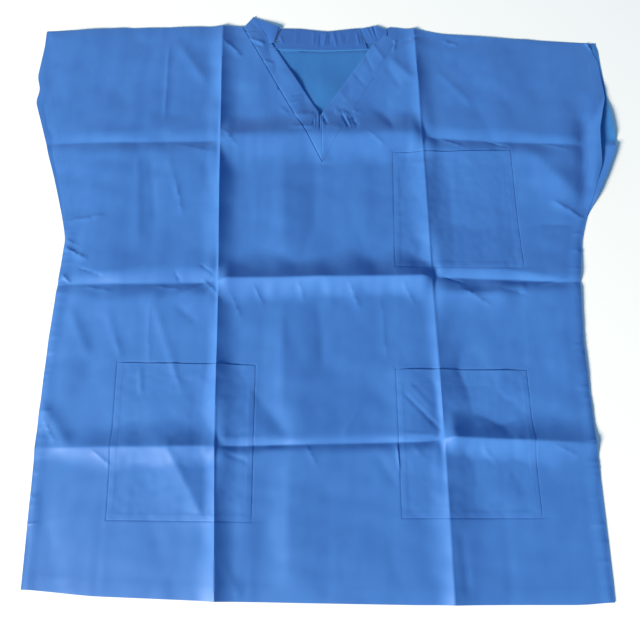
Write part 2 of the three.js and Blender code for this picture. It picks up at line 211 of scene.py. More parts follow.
# %% Corners of the V
V_TIP = corner("neckband_left", 0, -1)
V_TOP_LEFT, V_TOP_RIGHT = corner("neckband_left", -1, 0), corner("neckband_right", 1, 0)
V_END_RIGHT = corner("neckband_right", 0, 1)
print("the V's point at", V_TIP.round(1))


def direction(start, end):
    """One millimetre's step from start towards end."""
    return np.subtract(end, start) / np.hypot(*np.subtract(end, start))


def beyond(point, start, end):
    """Distance from a line, positive on the left hand of someone walking from start to end."""
    x, y = point
    along = direction(start, end)
    return (y - start[1]) * along[0] - (x - start[0]) * along[1]


def moved_left(start, end, distance):
    """Both ends of a line that runs beside the given one, so far to its left."""
    along = direction(start, end)
    aside = distance * np.array([-along[1], along[0]])
    return start + aside, end + aside


# %% [markdown]
# ## The packet's folds
#
# Folding a top into its packet presses two lengthwise folds and three across it. The lengthwise ones are
# both ridges. The cloth was folded to and fro across, so a fold across is a ridge in one third and a
# furrow in the next. A ridge stands like a tent, steepest at its crest. In a furrow the cloth touches
# the table, rises on both sides like the same tent upside down, and slowly lies down again. Real folds
# could be had by folding a flat sheet in a simulation; drawn from a few measures, they stay crisp, and
# front, back and pockets all follow the same ones.

# %% The fold net, in millimetres
REACH = 395.0  # the net runs a little past the sleeves
FOLD_Y = [-392.0, -208.0, -5.0, 190.0, 392.0]
FOLD_X_LEFT = [-114.4, -121.8, -125.8, -131.7, -136.0]
FOLD_X_RIGHT = [141.2, 139.0, 133.2, 128.8, 123.3]
CROSS_FOLD_X = [-REACH, -140.0, -116.0, 120.0, 148.0, REACH]
CROSS_FOLD_Y = {
    "low": [-210.0, -209.0, -209.0, -203.0, -198.5, -208.5],
    "waist": [-13.6, -12.2, -9.0, -5.0, -4.2, -13.5],
    "chest": [179.0, 183.0, 189.0, 192.0, 187.0, 173.0],
}

# Each row of a lengthwise fold: y, height there, and how far its left and right flanks reach.
LENGTH_FOLDS = {
    "left": [
        (-392, 6.5, 22, 27), (-330, 6.5, 22, 27), (-260, 6.0, 16, 30), (-155, 6.5, 17, 34),
        (-60, 4.6, 12, 24), (-5, 5.5, 18, 26), (35, 7.0, 22, 34), (90, 7.5, 26, 26),
        (150, 7.5, 24, 24), (190, 5.5, 18, 18), (230, 7.0, 24, 24), (300, 6.0, 20, 26),
        (338, 5.0, 20, 26), (368, 1.6, 16, 20),
    ],
    "right": [
        (-392, 6.0, 24, 60), (-330, 6.0, 24, 60), (-260, 6.0, 24, 56), (-200, 5.0, 16, 50),
        (-155, 5.0, 9, 56), (-60, 3.6, 13, 24), (-5, 3.5, 14, 26), (35, 5.0, 17, 40),
        (90, 6.0, 26, 36), (150, 7.0, 32, 34), (190, 4.0, 18, 22), (230, 4.5, 17, 26),
        (300, 4.0, 12, 22), (336, 3.6, 14, 22), (366, 1.2, 12, 18),
    ],
}

# The left ridge holds the whole left third up like one side of a shallow tent: y and height.
TENT_Y = [-392.0, -250.0, -100.0, 100.0, 190.0, 260.0]
TENT_HEIGHT = [5.5, 6.0, 5.0, 4.0, 1.5, 0.0]
TENT_REACH = 190.0, 260.0  # to the left edge, and nearly to the right ridge

# Height, reach below, reach above and roundness of the crest, in the left, middle and right thirds.
# Below zero is a furrow.
CROSS_FOLDS = {
    "low": [(5.6, 26, 30, 1.2), (-3.3, 11, 9, 0.5), (9.0, 26, 34, 1.0)],
    "waist": [(-5.8, 18, 20, 0.5), (10.2, 28, 34, 0.8), (-5.6, 20, 11, 0.5)],
    "chest": [(-3.9, 19, 16, 0.5), (7.9, 36, 30, 6.0), (-4.4, 19, 16, 0.5)],
}
FURROW_FADE = 95.0  # how far from a furrow the cloth has lain down again
SIGN_CHANGE = 26.0  # length over which a ridge turns into a furrow
SLEEVE_FLAT = 341.0  # the right sleeve lies flat past here, where the chest's fold has died away

fold_left = line(FOLD_Y, FOLD_X_LEFT)
fold_right = line(FOLD_Y, FOLD_X_RIGHT)


def cross_fold(name):
    """The line of a fold across, as a function of x."""
    return lambda x: np.interp(x, CROSS_FOLD_X, CROSS_FOLD_Y[name])


print("folds:", *LENGTH_FOLDS, *CROSS_FOLDS)


# %% Soft steps
def smooth(share):
    """0 below 0 and 1 above 1, with a soft step between."""
    share = np.clip(share, 0.0, 1.0)
    return share * share * (3.0 - 2.0 * share)


def span(value, start, rise, end, fall):
    """1 between start and end, with a soft step up after the one and down before the other."""
    return smooth((value - start) / rise) * smooth((end - value) / fall)


def bell(distance, width):
    """1 on a line, falling away softly on both sides of it."""
    return np.exp(-((distance / width) ** 2))


def fading(distance, reach):
    """1 up to a line, and fading with the distance past it."""
    return np.exp(-np.maximum(distance, 0.0) / reach)


# %% Noise
HILLS = 64  # hills each way before the noise repeats
STEADY = 400.0  # hills so long that the noise hardly changes along them


def noise(x, y, size_x, size_y, seed):
    """Smooth random hills between -1 and 1, of the given width and length in millimetres."""
    hills = np.random.default_rng(seed).uniform(-1.0, 1.0, (HILLS, HILLS))
    column, row = x / size_x + HILLS / 2, y / size_y + HILLS / 2
    i, j = np.floor(column).astype(int), np.floor(row).astype(int)
    s, t = smooth(column - i), smooth(row - j)
    near = [hills[(i + a) % HILLS, (j + b) % HILLS] for a, b in ((0, 0), (1, 0), (0, 1), (1, 1))]
    low = near[0] + (near[1] - near[0]) * s
    high = near[2] + (near[3] - near[2]) * s
    return low + (high - low) * t


# %% Section of a fold
def share_of(distance, before, after):
    """0 on a fold and 1 where its flank before or after it ends."""
    return np.clip(np.abs(distance) / np.where(distance < 0.0, before, after), 0.0, 1.0)


def tent(distance, before, after):
    """1 on a crest, falling ever more gently to 0: a crease that has half opened again."""
    return (1.0 - share_of(distance, before, after)) ** 2


def roof(distance, before, after, round_off=0.6):
    """1 on a crest, falling evenly and easing off late: a fold that still stands, with a soft crest."""
    eased = np.sqrt(distance**2 + round_off**2) - round_off
    share = share_of(np.copysign(eased, distance), before, after)
    return 1.0 - 1.5 * share + 0.5 * share**3


# %% Height of the packet's folds
def length_fold(x, y, rows, at, seed):
    """Height of a lengthwise fold. Noise makes its crest and both its flanks a little uneven."""
    places, heights, left, right = np.array(rows, dtype=float).T
    uneven = 1.0 + 0.16 * noise(x, y, STEADY, 30.0, seed)
    left = np.interp(y, places, left) * (1.0 + 0.25 * noise(x, y, STEADY, 21.0, seed + 20))
    right = np.interp(y, places, right) * (1.0 + 0.2 * noise(x, y, STEADY, 27.0, seed + 40))
    return np.interp(y, places, heights) * uneven * tent(x - at, left, right)


def inside_front(x, y):
    """How far inside the front's side edges a point is."""
    return np.maximum(np.minimum(x - FRONT["left"](y), FRONT["right"](y) - x), 0.0)


def across_fold(x, y, thirds, at, past_left, past_right, seed):
    """Height of a fold across, which turns from a ridge to a furrow or back at each lengthwise fold."""
    height, below, above, crest = (
        a + (b - a) * past_left + (c - b) * past_right for a, b, c in zip(*thirds)
    )
    in_cloth = smooth(inside_front(x, y) / 70.0)  # it is lower and narrower at the side edges
    height = height * (0.3 + 0.7 * in_cloth)
    flank = 0.7 + 0.3 * in_cloth
    ragged = 0.38 * noise(x, y, 27.0, STEADY, seed)
    below = below * flank * (1.0 + ragged + 0.1 * noise(x, y, 10.0, STEADY, seed + 60))
    above = above * flank * (1.0 + 0.30 * noise(x, y, 31.0, STEADY, seed + 80))
    uneven = 1.0 + 0.14 * noise(x, y, 37.0, STEADY, seed + 100)
    ridge = uneven * roof(y - at, below, above, crest)
    furrow = tent(y - at, FURROW_FADE, FURROW_FADE) - roof(y - at, below, above)
    return np.where(height > 0.0, height * ridge, -height * uneven * furrow)


def packet_lift(x, y):
    """How far the packet's folds hold the cloth off the table."""
    x_left, x_right = fold_left(y), fold_right(y)
    lift = length_fold(x, y, LENGTH_FOLDS["left"], x_left, 3)
    lift += length_fold(x, y, LENGTH_FOLDS["right"], x_right, 4)
    aside = x - x_left
    near = np.clip(1.0 - np.abs(aside) / np.where(aside < 0.0, *TENT_REACH), 0.0, 1.0)
    lift += np.interp(y, TENT_Y, TENT_HEIGHT) * near
    past_left = smooth((x - x_left) / SIGN_CHANGE + 0.5)
    past_right = smooth((x - x_right) / SIGN_CHANGE + 0.5)
    for seed, (name, thirds) in enumerate(CROSS_FOLDS.items(), 5):
        flat_end = smooth((SLEEVE_FLAT - x) / 16.0) if name == "chest" else 1.0
        lift += flat_end * across_fold(x, y, thirds, cross_fold(name)(x), past_left, past_right, seed)
    return lift


# %% [markdown]
# ## Creases, swellings and the paper-like unevenness
#
# Nonwoven creases like paper: besides the packet's folds there are short sharp wrinkles where it was
# pinched, and soft swellings between them. Noise alone would put them anywhere, and they are what makes
# this top look handled, so each is one row of a table with its own place and size. A crease runs
# between two points and tapers at both ends; one below zero is a furrow.

# %% Soft swellings: x, y, half length, half width, turn in degrees, height
SWELLINGS = [
    (-268, 95, 85, 34, 92, 3.0),  # left chest, beside the side seam
    (-345, 280, 70, 26, 84, 2.2),  # left sleeve
    (-305, -105, 70, 20, 86, 2.4),
    (-250, -300, 60, 40, 80, 1.3),
    (-100, 280, 60, 24, -60, 2.0),  # left of the neckband
    (-35, 75, 80, 26, 90, 2.0),  # down the middle
    (-28, -110, 75, 24, 88, 2.2),
    (-25, -300, 75, 24, 88, 1.8),
    (-85, -300, 40, 14, 100, 1.2),
    (215, 290, 60, 44, 80, 1.8),  # right sleeve
    (288, 130, 52, 32, 70, 1.4),  # right chest
    (288, -120, 60, 24, 80, 2.2),
    (106, -150, 42, 26, 80, 2.2),
    (112, 262, 46, 18, 80, 2.4),  # between the neckband and the right fold
    (205, 88, 50, 26, 84, 1.4),
    (215, -300, 60, 40, 80, 1.0),
]

# %% Short creases
# Each runs from its upper or left end to the other: x, y, x, y, height, then the reach of its lower
# left flank and of its upper right one.
CREASES = [
    (-182, -198, -124, -300, 4.3, 40, 56),  # raised corner of the lower left third
    (-328, -156, -286, -212, 2.4, 24, 20),  # pucker at the left side seam
    (-322, -176, -304, -206, 0.6, 3, 3),
    (-316, -212, -302, -338, -1.5, 13, 22),
    (-306, -38, -274, -108, 1.5, 24, 15),
    (-206, -28, -160, -156, 1.0, 8, 10),
    (-207, -32, -205, -118, 0.5, 5, 6),
    (-180, -38, -146, -66, -1.0, 6, 8),
    (-262, -40, -236, -108, 1.0, 8, 12),
    (-214, -114, -210, -152, 0.8, 6, 6),
    (-238, 178, -226, 30, 1.9, 46, 22),
    (-222, 170, -208, 64, -0.6, 8, 6),
    (-199, 164, -179, 98, 0.7, 6, 8),
    (-186, 126, -174, 74, 0.5, 5, 6),
    (-322, 70, -268, 79, 0.9, 9, 3),
    (-321, 38, -286, 17, 1.1, 7, 3),
    (-320, 48, -300, 36, 0.5, 5, 3),
    (-318, 0, -306, -12, 1.0, 4, 3),
    (-207, 338, -206, 205, 0.8, 5, 7),
    (-198, 338, -148, 262, 1.6, 16, 18),
    (-134, 336, -106, 310, 1.1, 6, 3),
    (-8, 165, -9, 46, -0.7, 15, 16),
    (-50, 170, -46, 6, 1.2, 40, 28),
    (-49, -22, -44, -190, 1.5, 26, 24),
    (-6, -22, 2, -126, -1.0, 15, 16),
    (70, -26, 76, -114, 0.35, 4, 5),
    (-84, -140, -34, -206, -1.6, 22, 26),
    (4, -6, 13, -46, 0.7, 9, 6),
    (-42, -206, -36, -374, 1.4, 34, 30),
    (-112, -326, -86, -374, 0.4, 8, 6),
    (56, -210, 86, -256, -0.9, 13, 13),
    (84, -204, 87, -238, 0.9, 4, 3),
    (-114, -215, -82, -227, -1.0, 5, 4),
    (91, -144, 139, -194, -1.3, 4, 3.5),
    (88, -193, 136, -197, 0.8, 3, 3),
    (138, -23, 236, -25, 2.6, 26, 9),
    (156, -92, 220, -206, -3.5, 36, 34),
    (152, -296, 156, -372, -1.0, 9, 10),
    (150, 294, 202, 230, 0.9, 9, 9),
    (163, 339, 183, 330, 1.0, 3, 3),
    (60, 262, 96, 196, -1.9, 15, 26),
    (84, 300, 106, 262, -1.0, 8, 7),
    (88, 312, 124, 272, 1.8, 14, 16),
    (286, 101, 334, 70, 1.3, 8, 5),
    (270, 66, 329, 66, -1.0, 5, 6),
    (-146, -6, -124, -30, 0.9, 4, 4),
    (-180, 3, -172, -12, -0.7, 3, 3),
    (93, 328, 136, 346, -1.8, 4, 5),
    (96, 318, 100, 340, 0.8, 4, 3),
    (342, 236, 330, 62, -5.6, 12, 14),
    (252, 184, 332, 92, 3.0, 42, 34),
    (98, -132, 128, -168, 0.5, 5, 3),
    (378, 262, 341, 190, -2.4, 13, 15),
    (350, 336, 364, 316, -1.6, 3, 4),
    (357, 336, 364, 322, 1.3, 3, 3),
]

# %% Small wrinkles and gathers
# The packet's folds have pinched wrinkles into the cloth beside them. The columns are the same.
WRINKLES = [
    (-176, -30, -132, -8, 0.7, 4, 4), (-160, -46, -134, -16, 0.5, 4, 4), (-150, 12, -130, -4, -0.6, 3, 4),
    (-204, -16, -168, -22, 0.5, 4, 4), (-112, -24, -96, -58, 0.5, 4, 4), (-84, -14, -70, -42, 0.5, 5, 4),
    (-30, -10, -22, -36, 0.5, 4, 5), (30, -8, 46, -46, 0.6, 5, 5), (96, -10, 112, -40, 0.5, 4, 4),
    (146, -2, 176, -14, -0.7, 4, 3), (170, -20, 206, -42, 0.6, 5, 4), (214, -18, 250, -27, -0.5, 4, 4),
    (262, -14, 300, -4, 0.6, 4, 3), (-290, -16, -250, -24, 0.5, 4, 4), (-302, 10, -262, -6, -0.5, 4, 3),
    (-186, 178, -142, 166, 0.3, 5, 5), (-128, 198, -108, 172, 0.5, 4, 4), (58, 196, 82, 174, 0.5, 5, 4),
    (150, 188, 186, 172, 0.6, 4, 4), (210, 184, 242, 172, -0.5, 4, 3), (282, 180, 318, 168, 0.5, 4, 4),
    (-104, -196, -84, -184, 0.6, 4, 3), (-120, -199, -74, -198, 0.7, 3, 3),
    (-20, -206, -6, -232, 0.5, 4, 4), (20, -198, 42, -168, 0.5, 5, 4), (100, -206, 122, -228, 0.5, 4, 4),
    (180, -206, 202, -234, 0.6, 5, 5), (262, -206, 292, -221, 0.5, 4, 4),
    (150, -192, 178, -170, -0.6, 4, 4), (-262, -212, -236, -232, 0.5, 5, 4),
]

# Gathers where the neckband's two runs meet at the point of the V, in the same columns.
GATHERS = [
    (-6, 223, -13, 205, -1.0, 2.4, 3.0),
    (-9, 219, -10, 203, 0.7, 2.5, 2.0),
    (-3, 223, -3, 195, -1.0, 2.2, 2.2),
    (-1, 223, 7, 203, -1.5, 4.0, 4.5),
    (-44, 203, -8, 200, 1.1, 4.0, 12.0),
    (0, 205, 26, 200, 1.0, 3.0, 10.0),
    (24, 226, 35, 199, -1.1, 3.4, 3.4),
    (30, 222, 37, 201, 0.6, 2.6, 2.6),
    (38, 220, 46, 199, -1.0, 2.8, 3.4),
    (36, 210, 39, 200, -0.4, 2.0, 2.0),
    (38, 229, 52, 224, 0.6, 3.0, 4.0),
    (-56, 236, -42, 222, 0.6, 8.0, 4.0),
]


# %% Puckers along the side seams
UNDERARM = {"left": 62.0, "right": 92.0}  # where each side seam ends and the cuff begins


def seam_puckers(side, seed):
    """Short ticks where the side seam's thread has drawn the cloth in, in the same columns."""
    draws = np.random.default_rng(seed)
    inward = 1.0 if side == "left" else -1.0
    rows, y = [], -362.0
    while y < UNDERARM[side] - 6.0:
        y += draws.uniform(5.0, 26.0)
        edge, length = float(FRONT[side](y)), draws.uniform(7.0, 17.0)
        ends = sorted([(edge - 3.0 * inward, y), (edge + inward * length, y + draws.uniform(-3.0, 3.0))])
        rows.append((*ends[0], *ends[1], draws.uniform(0.12, 0.50), 2.2, 3.0))
    return rows


PUCKERS = seam_puckers("left", 31) + seam_puckers("right", 32)
FRONT_CREASES = CREASES + WRINKLES + GATHERS + PUCKERS
print(len(SWELLINGS), "swellings and", len(FRONT_CREASES), "creases")

# %% Height of a swelling and of a crease
TAPER = 0.24  # share of a crease's length over which it dies away at each end


def swelling(x, y, row):
    """A soft oval hill, turned by so many degrees."""
    at_x, at_y, length, width, turn, height = row
    cosine, sine = math.cos(math.radians(turn)), math.sin(math.radians(turn))
    along = (x - at_x) * cosine + (y - at_y) * sine
    across = (y - at_y) * cosine - (x - at_x) * sine
    return height * np.exp(-((along / length) ** 2) - (across / width) ** 2)


def crease(x, y, row):
    """A sharp fold between two points, which dies away towards both."""
    x0, y0, x1, y1, height, lower_left, upper_right = row
    length = math.hypot(x1 - x0, y1 - y0)
    along = ((x - x0) * (x1 - x0) + (y - y0) * (y1 - y0)) / length**2
    aside = ((y - y0) * (x1 - x0) - (x - x0) * (y1 - y0)) / length
    return height * span(along, 0.0, TAPER, 1.0, TAPER) * tent(aside, lower_left, upper_right)


def with_rows(lift, x, y, form, rows):
    """The lift with the form of each row of a table, swelling or crease, added to it."""
    for row in rows:
        lift = lift + form(x, y, row)
    return lift


def uneven_lift(x, y):
    """The cloth's own unevenness: streaks along the roll it was cut from, and a faint crumple."""
    streaks = 0.24 * noise(x, y, 17.0, 190.0, 11) + 0.10 * noise(x, y, 7.0, 90.0, 12)
    streaks += 0.30 * noise(x, y + 0.2 * x, 70.0, 17.0, 16) + 0.10 * noise(x, y - 0.3 * x, 26.0, 8.0, 17)
    hills = 1.1 * noise(x, y, 60.0, 70.0, 13)
    crumple = 0.7 * np.abs(noise(x + 0.3 * y, y - 0.2 * x, 42.0, 58.0, 14))
    crumple += 0.34 * np.abs(noise(x - 0.4 * y, y + 0.3 * x, 24.0, 30.0, 15))
    return streaks + hills + crumple


# %% [markdown]
# ## Seams
#
# A seam shows as relief, not as a line, so none is painted on. Down each side the two allowances make a
# low roll just inside the edge, with a furrow beside it and little puckers where the thread has drawn
# the cloth in. Round a pocket the thread pulls a groove. The hem is turned up once and its inner edge
# shows as a faint step. Each is added to the height of the cloth, so light finds it by itself.

# %% Relief of the seams
ROLL, ROLL_WIDTH, ROLL_HEIGHT = 7.0, 4.4, 0.34  # in from a side edge
FURROW, FURROW_WIDTH, FURROW_DEPTH = 15.0, 6.0, 0.2  # beside the roll
EDGE_PULL, EDGE_PULL_REACH = 0.35, 3.0  # how far the thread draws the side edge down
POCKET_SWELL, POCKET_SWELL_REACH = 0.3, 7.0
GROOVE_DEPTH, GROOVE_WIDTH = 0.40, 1.3  # under a pocket's sewn edge
HEM_DEPTH, HEM_RISE = 18.0, 0.14
HEM_DIP, HEM_DIP_IN, HEM_DIP_WIDTH = 0.08, 1.5, 1.2  # along its stitches, in from its inner edge


def side_seam(x, y, side, seed):
    """The roll of a side seam, and the furrow beside it."""
    edge = x - FRONT["left"](y) if side == "left" else FRONT["right"](y) - x
    sewn = smooth((UNDERARM[side] - y) / 14.0)
    uneven = 1.0 + 0.45 * noise(x, y, STEADY, 52.0, seed)
    roll = ROLL_HEIGHT * bell(edge - ROLL, ROLL_WIDTH)
    furrow = FURROW_DEPTH * bell(edge - FURROW, FURROW_WIDTH)
    return sewn * (uneven * (roll - furrow) - EDGE_PULL * fading(edge, EDGE_PULL_REACH))


def pocket_groove(x, y):
    """Left of a pocket and below it the panel swells a little, and it dips under the sewn edges."""
    groove = np.zeros_like(x)
    for seed, pocket in enumerate(POCKETS.values(), 61):
        sewn, below_mouth = inside(pocket, x, y)
        here = smooth(below_mouth / 3.0 + 1.0)
        drawn = 0.65 + 0.35 * noise(x, y, 6.0, 6.0, seed)
        outward = np.maximum(-sewn, 0.0)
        swollen = (x < pocket["left"](y) - 0.5) | (y < pocket["bottom"](x) - 0.5)
        swell = np.where(swollen, POCKET_SWELL * fading(outward, POCKET_SWELL_REACH), 0.0)
        groove += here * (swell - GROOVE_DEPTH * drawn * bell(outward, GROOVE_WIDTH))
    return groove


def hem_step(x, y):
    """The turned-up hem stands a little higher, and dips along its stitches."""
    up = y - FRONT["hem"](x)
    step = HEM_RISE * smooth((HEM_DEPTH - up) / 2.0 + 0.5)
    return step - HEM_DIP * bell(up - HEM_DEPTH + HEM_DIP_IN, HEM_DIP_WIDTH)


# %% Relief of the V's seams
UNDER_BAND = 0.45  # how much lower the left run lies than the panel beside it
HELD_LEFT, HELD_LEFT_REACH = 0.85, 7.0  # how far the allowance holds the panel up beside each run
HELD_RIGHT, HELD_RIGHT_REACH = 1.35, 16.0
SEAM_LINE = -0.25  # the panel is held up just outside the seam


def neck_seam(x, y):
    """The V's seams: their allowance holds the panel up beside the bands, fading away from the seam."""
    from_left = beyond((x, y), V_TOP_LEFT, V_TIP)
    from_right = beyond((x, y), V_TIP, V_TOP_RIGHT)
    from_right = np.minimum(from_right, beyond((x, y), V_TOP_RIGHT, V_END_RIGHT))
    here = span(y, V_TIP[1] - 3.0, 6.0, V_TOP_LEFT[1] + 14.0, 10.0)
    held_left = HELD_LEFT * fading(-from_left, HELD_LEFT_REACH)
    held_right = HELD_RIGHT * fading(-from_right, HELD_RIGHT_REACH)
    left = np.where(from_left < SEAM_LINE, held_left, -UNDER_BAND)
    right = np.where(from_right < SEAM_LINE, held_right, 0.0)
    return here * np.where(x < V_TIP[0], left, right)


# %% Height of the front
FRONT_SWELLINGS = [  # the front alone stands up here: along the V, and at the gaping cuff
    (-31, 279, 24, 26, -60, 1.5),
    (-75, 300, 60, 26, -60, 0.8),
    (60, 300, 62, 24, 59, 1.2),
    (0, 214, 30, 22, 0, 2.0),
    (-16, 250, 24, 16, -60, -1.2),
    (-3, 224, 2.4, 2.4, 0, -1.8),
    (375, 212, 50, 24, 85, 6.5),
    (308, 158, 66, 20, 84, 2.6),
    (350, 140, 56, 11, 78, 2.0),
]


def cloth_lift(x, y):
    """What front and back share: the packet's folds and the swellings between them."""
    return with_rows(packet_lift(x, y), x, y, swelling, SWELLINGS)


def edge_drop(x, y):
    """All round its outline the front lies closer to the back, to which it is sewn or hemmed."""
    inward = np.minimum(inside_front(x, y), np.minimum(y - FRONT["hem"](x), FRONT["shoulder"](x) - y))
    upper = smooth((y - 232.0) / 16.0)  # more so along the shoulders
    return -(0.7 + 0.5 * upper) * fading(inward, 8.0 + 8.0 * upper)


def front_lift(x, y):
    """How far the front panel's underside is above its floor."""
    lift = cloth_lift(x, y) + uneven_lift(x, y)
    lift = with_rows(lift, x, y, swelling, FRONT_SWELLINGS)
    lift = np.maximum(with_rows(lift, x, y, crease, FRONT_CREASES), 0.0)
    lift += side_seam(x, y, "left", 71) + side_seam(x, y, "right", 81)
    lift += pocket_groove(x, y) + hem_step(x, y) + neck_seam(x, y) + edge_drop(x, y)
    return np.maximum(np.maximum(lift, -SINK), back_lift(x, y) - ROOM)


# %% Height of the back
BACK_SWELLING = (10, 262, 34, 22, -60, 1.7)  # in the neck, beside the left run
BACK_FOLLOWS = 0.5  # share of the front's folds that the back follows away from its seams
BACK_REST = 2.2  # folds lower than this leave the back lying flat
BACK_UNEVEN = 0.15  # its own unevenness, up and down


def back_lift(x, y):
    """The back follows the front's folds half way, all the way at the seams, and rests on the table."""
    inward = np.minimum(x - BACK["left"](y), np.minimum(BACK["right"](y) - x, BACK["shoulder"](x) - y))
    free = smooth(inward / 40.0)
    lift = np.maximum((1.0 - BACK_FOLLOWS * free) * cloth_lift(x, y) - BACK_REST * free, 0.0)
    lift += swelling(x, y, BACK_SWELLING)
    uneven = BACK_UNEVEN * (1.0 + noise(x, y, 40.0, 50.0, 21))
    return lift + uneven + neckline_lift(x, y) + cuff_curl(x, y)


# %% The back's right cuff and its neckline
CURL_BELOW, CURL_ABOVE = 4.4, 3.4  # height of the right cuff's curl, below its notch and above it
CURL_BELOW_WIDTH, CURL_ABOVE_WIDTH, CURL_ROUND = 22.0, 20.0, 3.0


def cuff_curl(x, y):
    """The back's right cuff, whose hem curls up below the notch and stands a little above it."""
    edge = np.maximum(BACK["right"](y) - x, 0.0)
    below = CURL_BELOW * span(y, 84.0, 26.0, 186.0, 10.0)
    above = CURL_ABOVE * span(y, 178.0, 20.0, 262.0, 40.0)
    curl = below * roof(edge, 1.0, CURL_BELOW_WIDTH, CURL_ROUND)
    return curl + above * tent(edge, 1.0, CURL_ABOVE_WIDTH)


NECK_SEAM = [(-68.0, 325.5), (0.0, 322.8), (64.0, 325.5)]  # where the back's neckband begins
NECK_HELD = 2.3  # how far the seam holds the neckline up
NECK_HELD_BEFORE, NECK_HELD_PAST = 66.0, 37.0  # and how far from the seam that can be felt
NECK_GROOVE, NECK_GROOVE_IN = 0.7, 2.6  # a groove just before the seam
BAND_PRESSED = 0.75  # how much lower the neckband's side lies


def neckline_lift(x, y):
    """The back's neckline, held up a little by its seam, with the neckband's side pressed lower."""
    past = y - np.interp(x, *zip(*NECK_SEAM))
    half_width = 62.0 + 0.6 * (past + 8.0)  # the V is wider towards the neckline
    near_neck = smooth((84.0 - np.abs(x)) / 30.0) * smooth((half_width - np.abs(x)) / 20.0 + 1.0)
    held_before = tent(past, NECK_HELD_BEFORE, NECK_HELD_BEFORE)
    held_past = 1.0 - share_of(past, NECK_HELD_PAST, NECK_HELD_PAST)
    held = np.where(past < 0.0, held_before, held_past)
    lift = NECK_HELD * held - NECK_GROOVE * tent(past + NECK_GROOVE_IN, 2.2, 1.6)
    return near_neck * (lift - BAND_PRESSED * smooth((past + 0.4) / 0.8))


# %% [markdown]
# ## Cloth as a grid that follows its folds
#
# A crease only looks pressed if mesh edges run along it. A plain square grid would have to be very fine
# for that, so each piece is a grid whose columns follow its side edges and the lengthwise folds, and
# whose rows follow its ends and the folds across. It is finer beside a fold, and every point of it is
# found by letting the two families of lines cross.

# %% Grid helpers
SETTLING = 8  # rounds after which two crossing lines have met


def steps(length, near=NEAR, far=FAR, growth=1.3):
    """Shares of one stretch between two lines, close together at both its ends."""
    marks, step = [0.0], near
    while marks[-1] < length / 2.0:
        marks.append(marks[-1] + step)
        step = min(step * growth, far)
    half = np.array(marks) * (0.5 / marks[-1])
    return np.concatenate([half, 1.0 - half[-2::-1]])


def stations(places, **spacing):
    """Where the grid's lines run: the whole numbers are the given lines, and the rest lie between."""
    gaps = np.diff(places)
    parts = [index + steps(gap, **spacing)[:-1] for index, gap in enumerate(gaps)]
    return np.concatenate(parts + [[float(len(gaps))]])


def crossings(x_lines, y_lines, **spacing):
    """x and y of a grid whose columns follow x_lines(y) and whose rows follow y_lines(x)."""
    middle = [float(f(0.0)) for f in y_lines], [float(f(0.0)) for f in x_lines]
    rows = stations(middle[0], **spacing)
    columns = stations([float(f(np.mean(middle[0]))) for f in x_lines], **spacing)
    u, v = np.meshgrid(columns, rows)
    x, y = np.interp(u, range(len(x_lines)), middle[1]), np.interp(v, range(len(y_lines)), middle[0])
    for _ in range(SETTLING):
        x_at, y_at = np.stack([f(y) for f in x_lines]), np.stack([f(x) for f in y_lines])
        x, y = pick(x_at, u), pick(y_at, v)
    return x, y


def pick(lines, where):
    """The place between two lines of a stack, point by point."""
    low = np.minimum(np.floor(where).astype(int), len(lines) - 2)
    first = np.take_along_axis(lines, low[None], 0)[0]
    second = np.take_along_axis(lines, low[None] + 1, 0)[0]
    return first + (second - first) * (where - low)


# %% From a grid to a shell of cloth
def flat_grid(x, y):
    """A flat mesh of squares over a grid of points given in millimetres."""
    height, width = x.shape
    points = np.stack([x, y, np.zeros_like(x)], axis=-1).reshape(-1, 3) * MM
    index = np.arange(height * width).reshape(height, width)
    around = index[:-1, :-1], index[:-1, 1:], index[1:, 1:], index[1:, :-1]
    quads = np.stack(around, axis=-1).reshape(-1, 4)
    mesh = bpy.data.meshes.new("flat")
    mesh.from_pydata(points.tolist(), [], quads.tolist())
    shape = bmesh.new()
    shape.from_mesh(mesh)
    bpy.data.meshes.remove(mesh)
    return shape


# %% Scoring lines into a flat sheet
CUT_MARGIN, SCORE_MARGIN = 6.0, 4.0  # how far round a long line, and a short one, faces are cut


def score(shape, a, b, margin=CUT_MARGIN):
    """Cuts an edge line into a flat mesh along the segment from a to b, without opening it."""
    start, end = np.array(a) * MM, np.array(b) * MM
    length = float(np.hypot(*(end - start)))
    along_x, along_y = (end - start) / length
    reach, start_x, start_y = margin * MM, *start
    parts = set()
    for vertex in shape.verts:
        x, y = vertex.co.x - start_x, vertex.co.y - start_y
        if abs(y * along_x - x * along_y) < reach and -reach < x * along_x + y * along_y < length + reach:
            parts.update(vertex.link_faces)
    parts |= {e for f in parts for e in f.edges} | {v for f in parts for v in f.verts}
    point, across = (start_x, start_y, 0.0), (along_y, -along_x, 0.0)
    bmesh.ops.bisect_plane(shape, geom=list(parts), plane_co=point, plane_no=across, dist=1e-6)


def score_beside(shape, start, end, distances):
    """Scores lines beside the one from start to end, some way out to its right."""
    for distance in distances:
        score(shape, *moved_left(start, end, -distance), SCORE_MARGIN)


def meeting(side, end):
    """Where a side x(y) and an end y(x) cross."""
    y = 0.0
    for _ in range(SETTLING):
        y = float(end(side(y)))
    return np.array([float(side(y)), y])


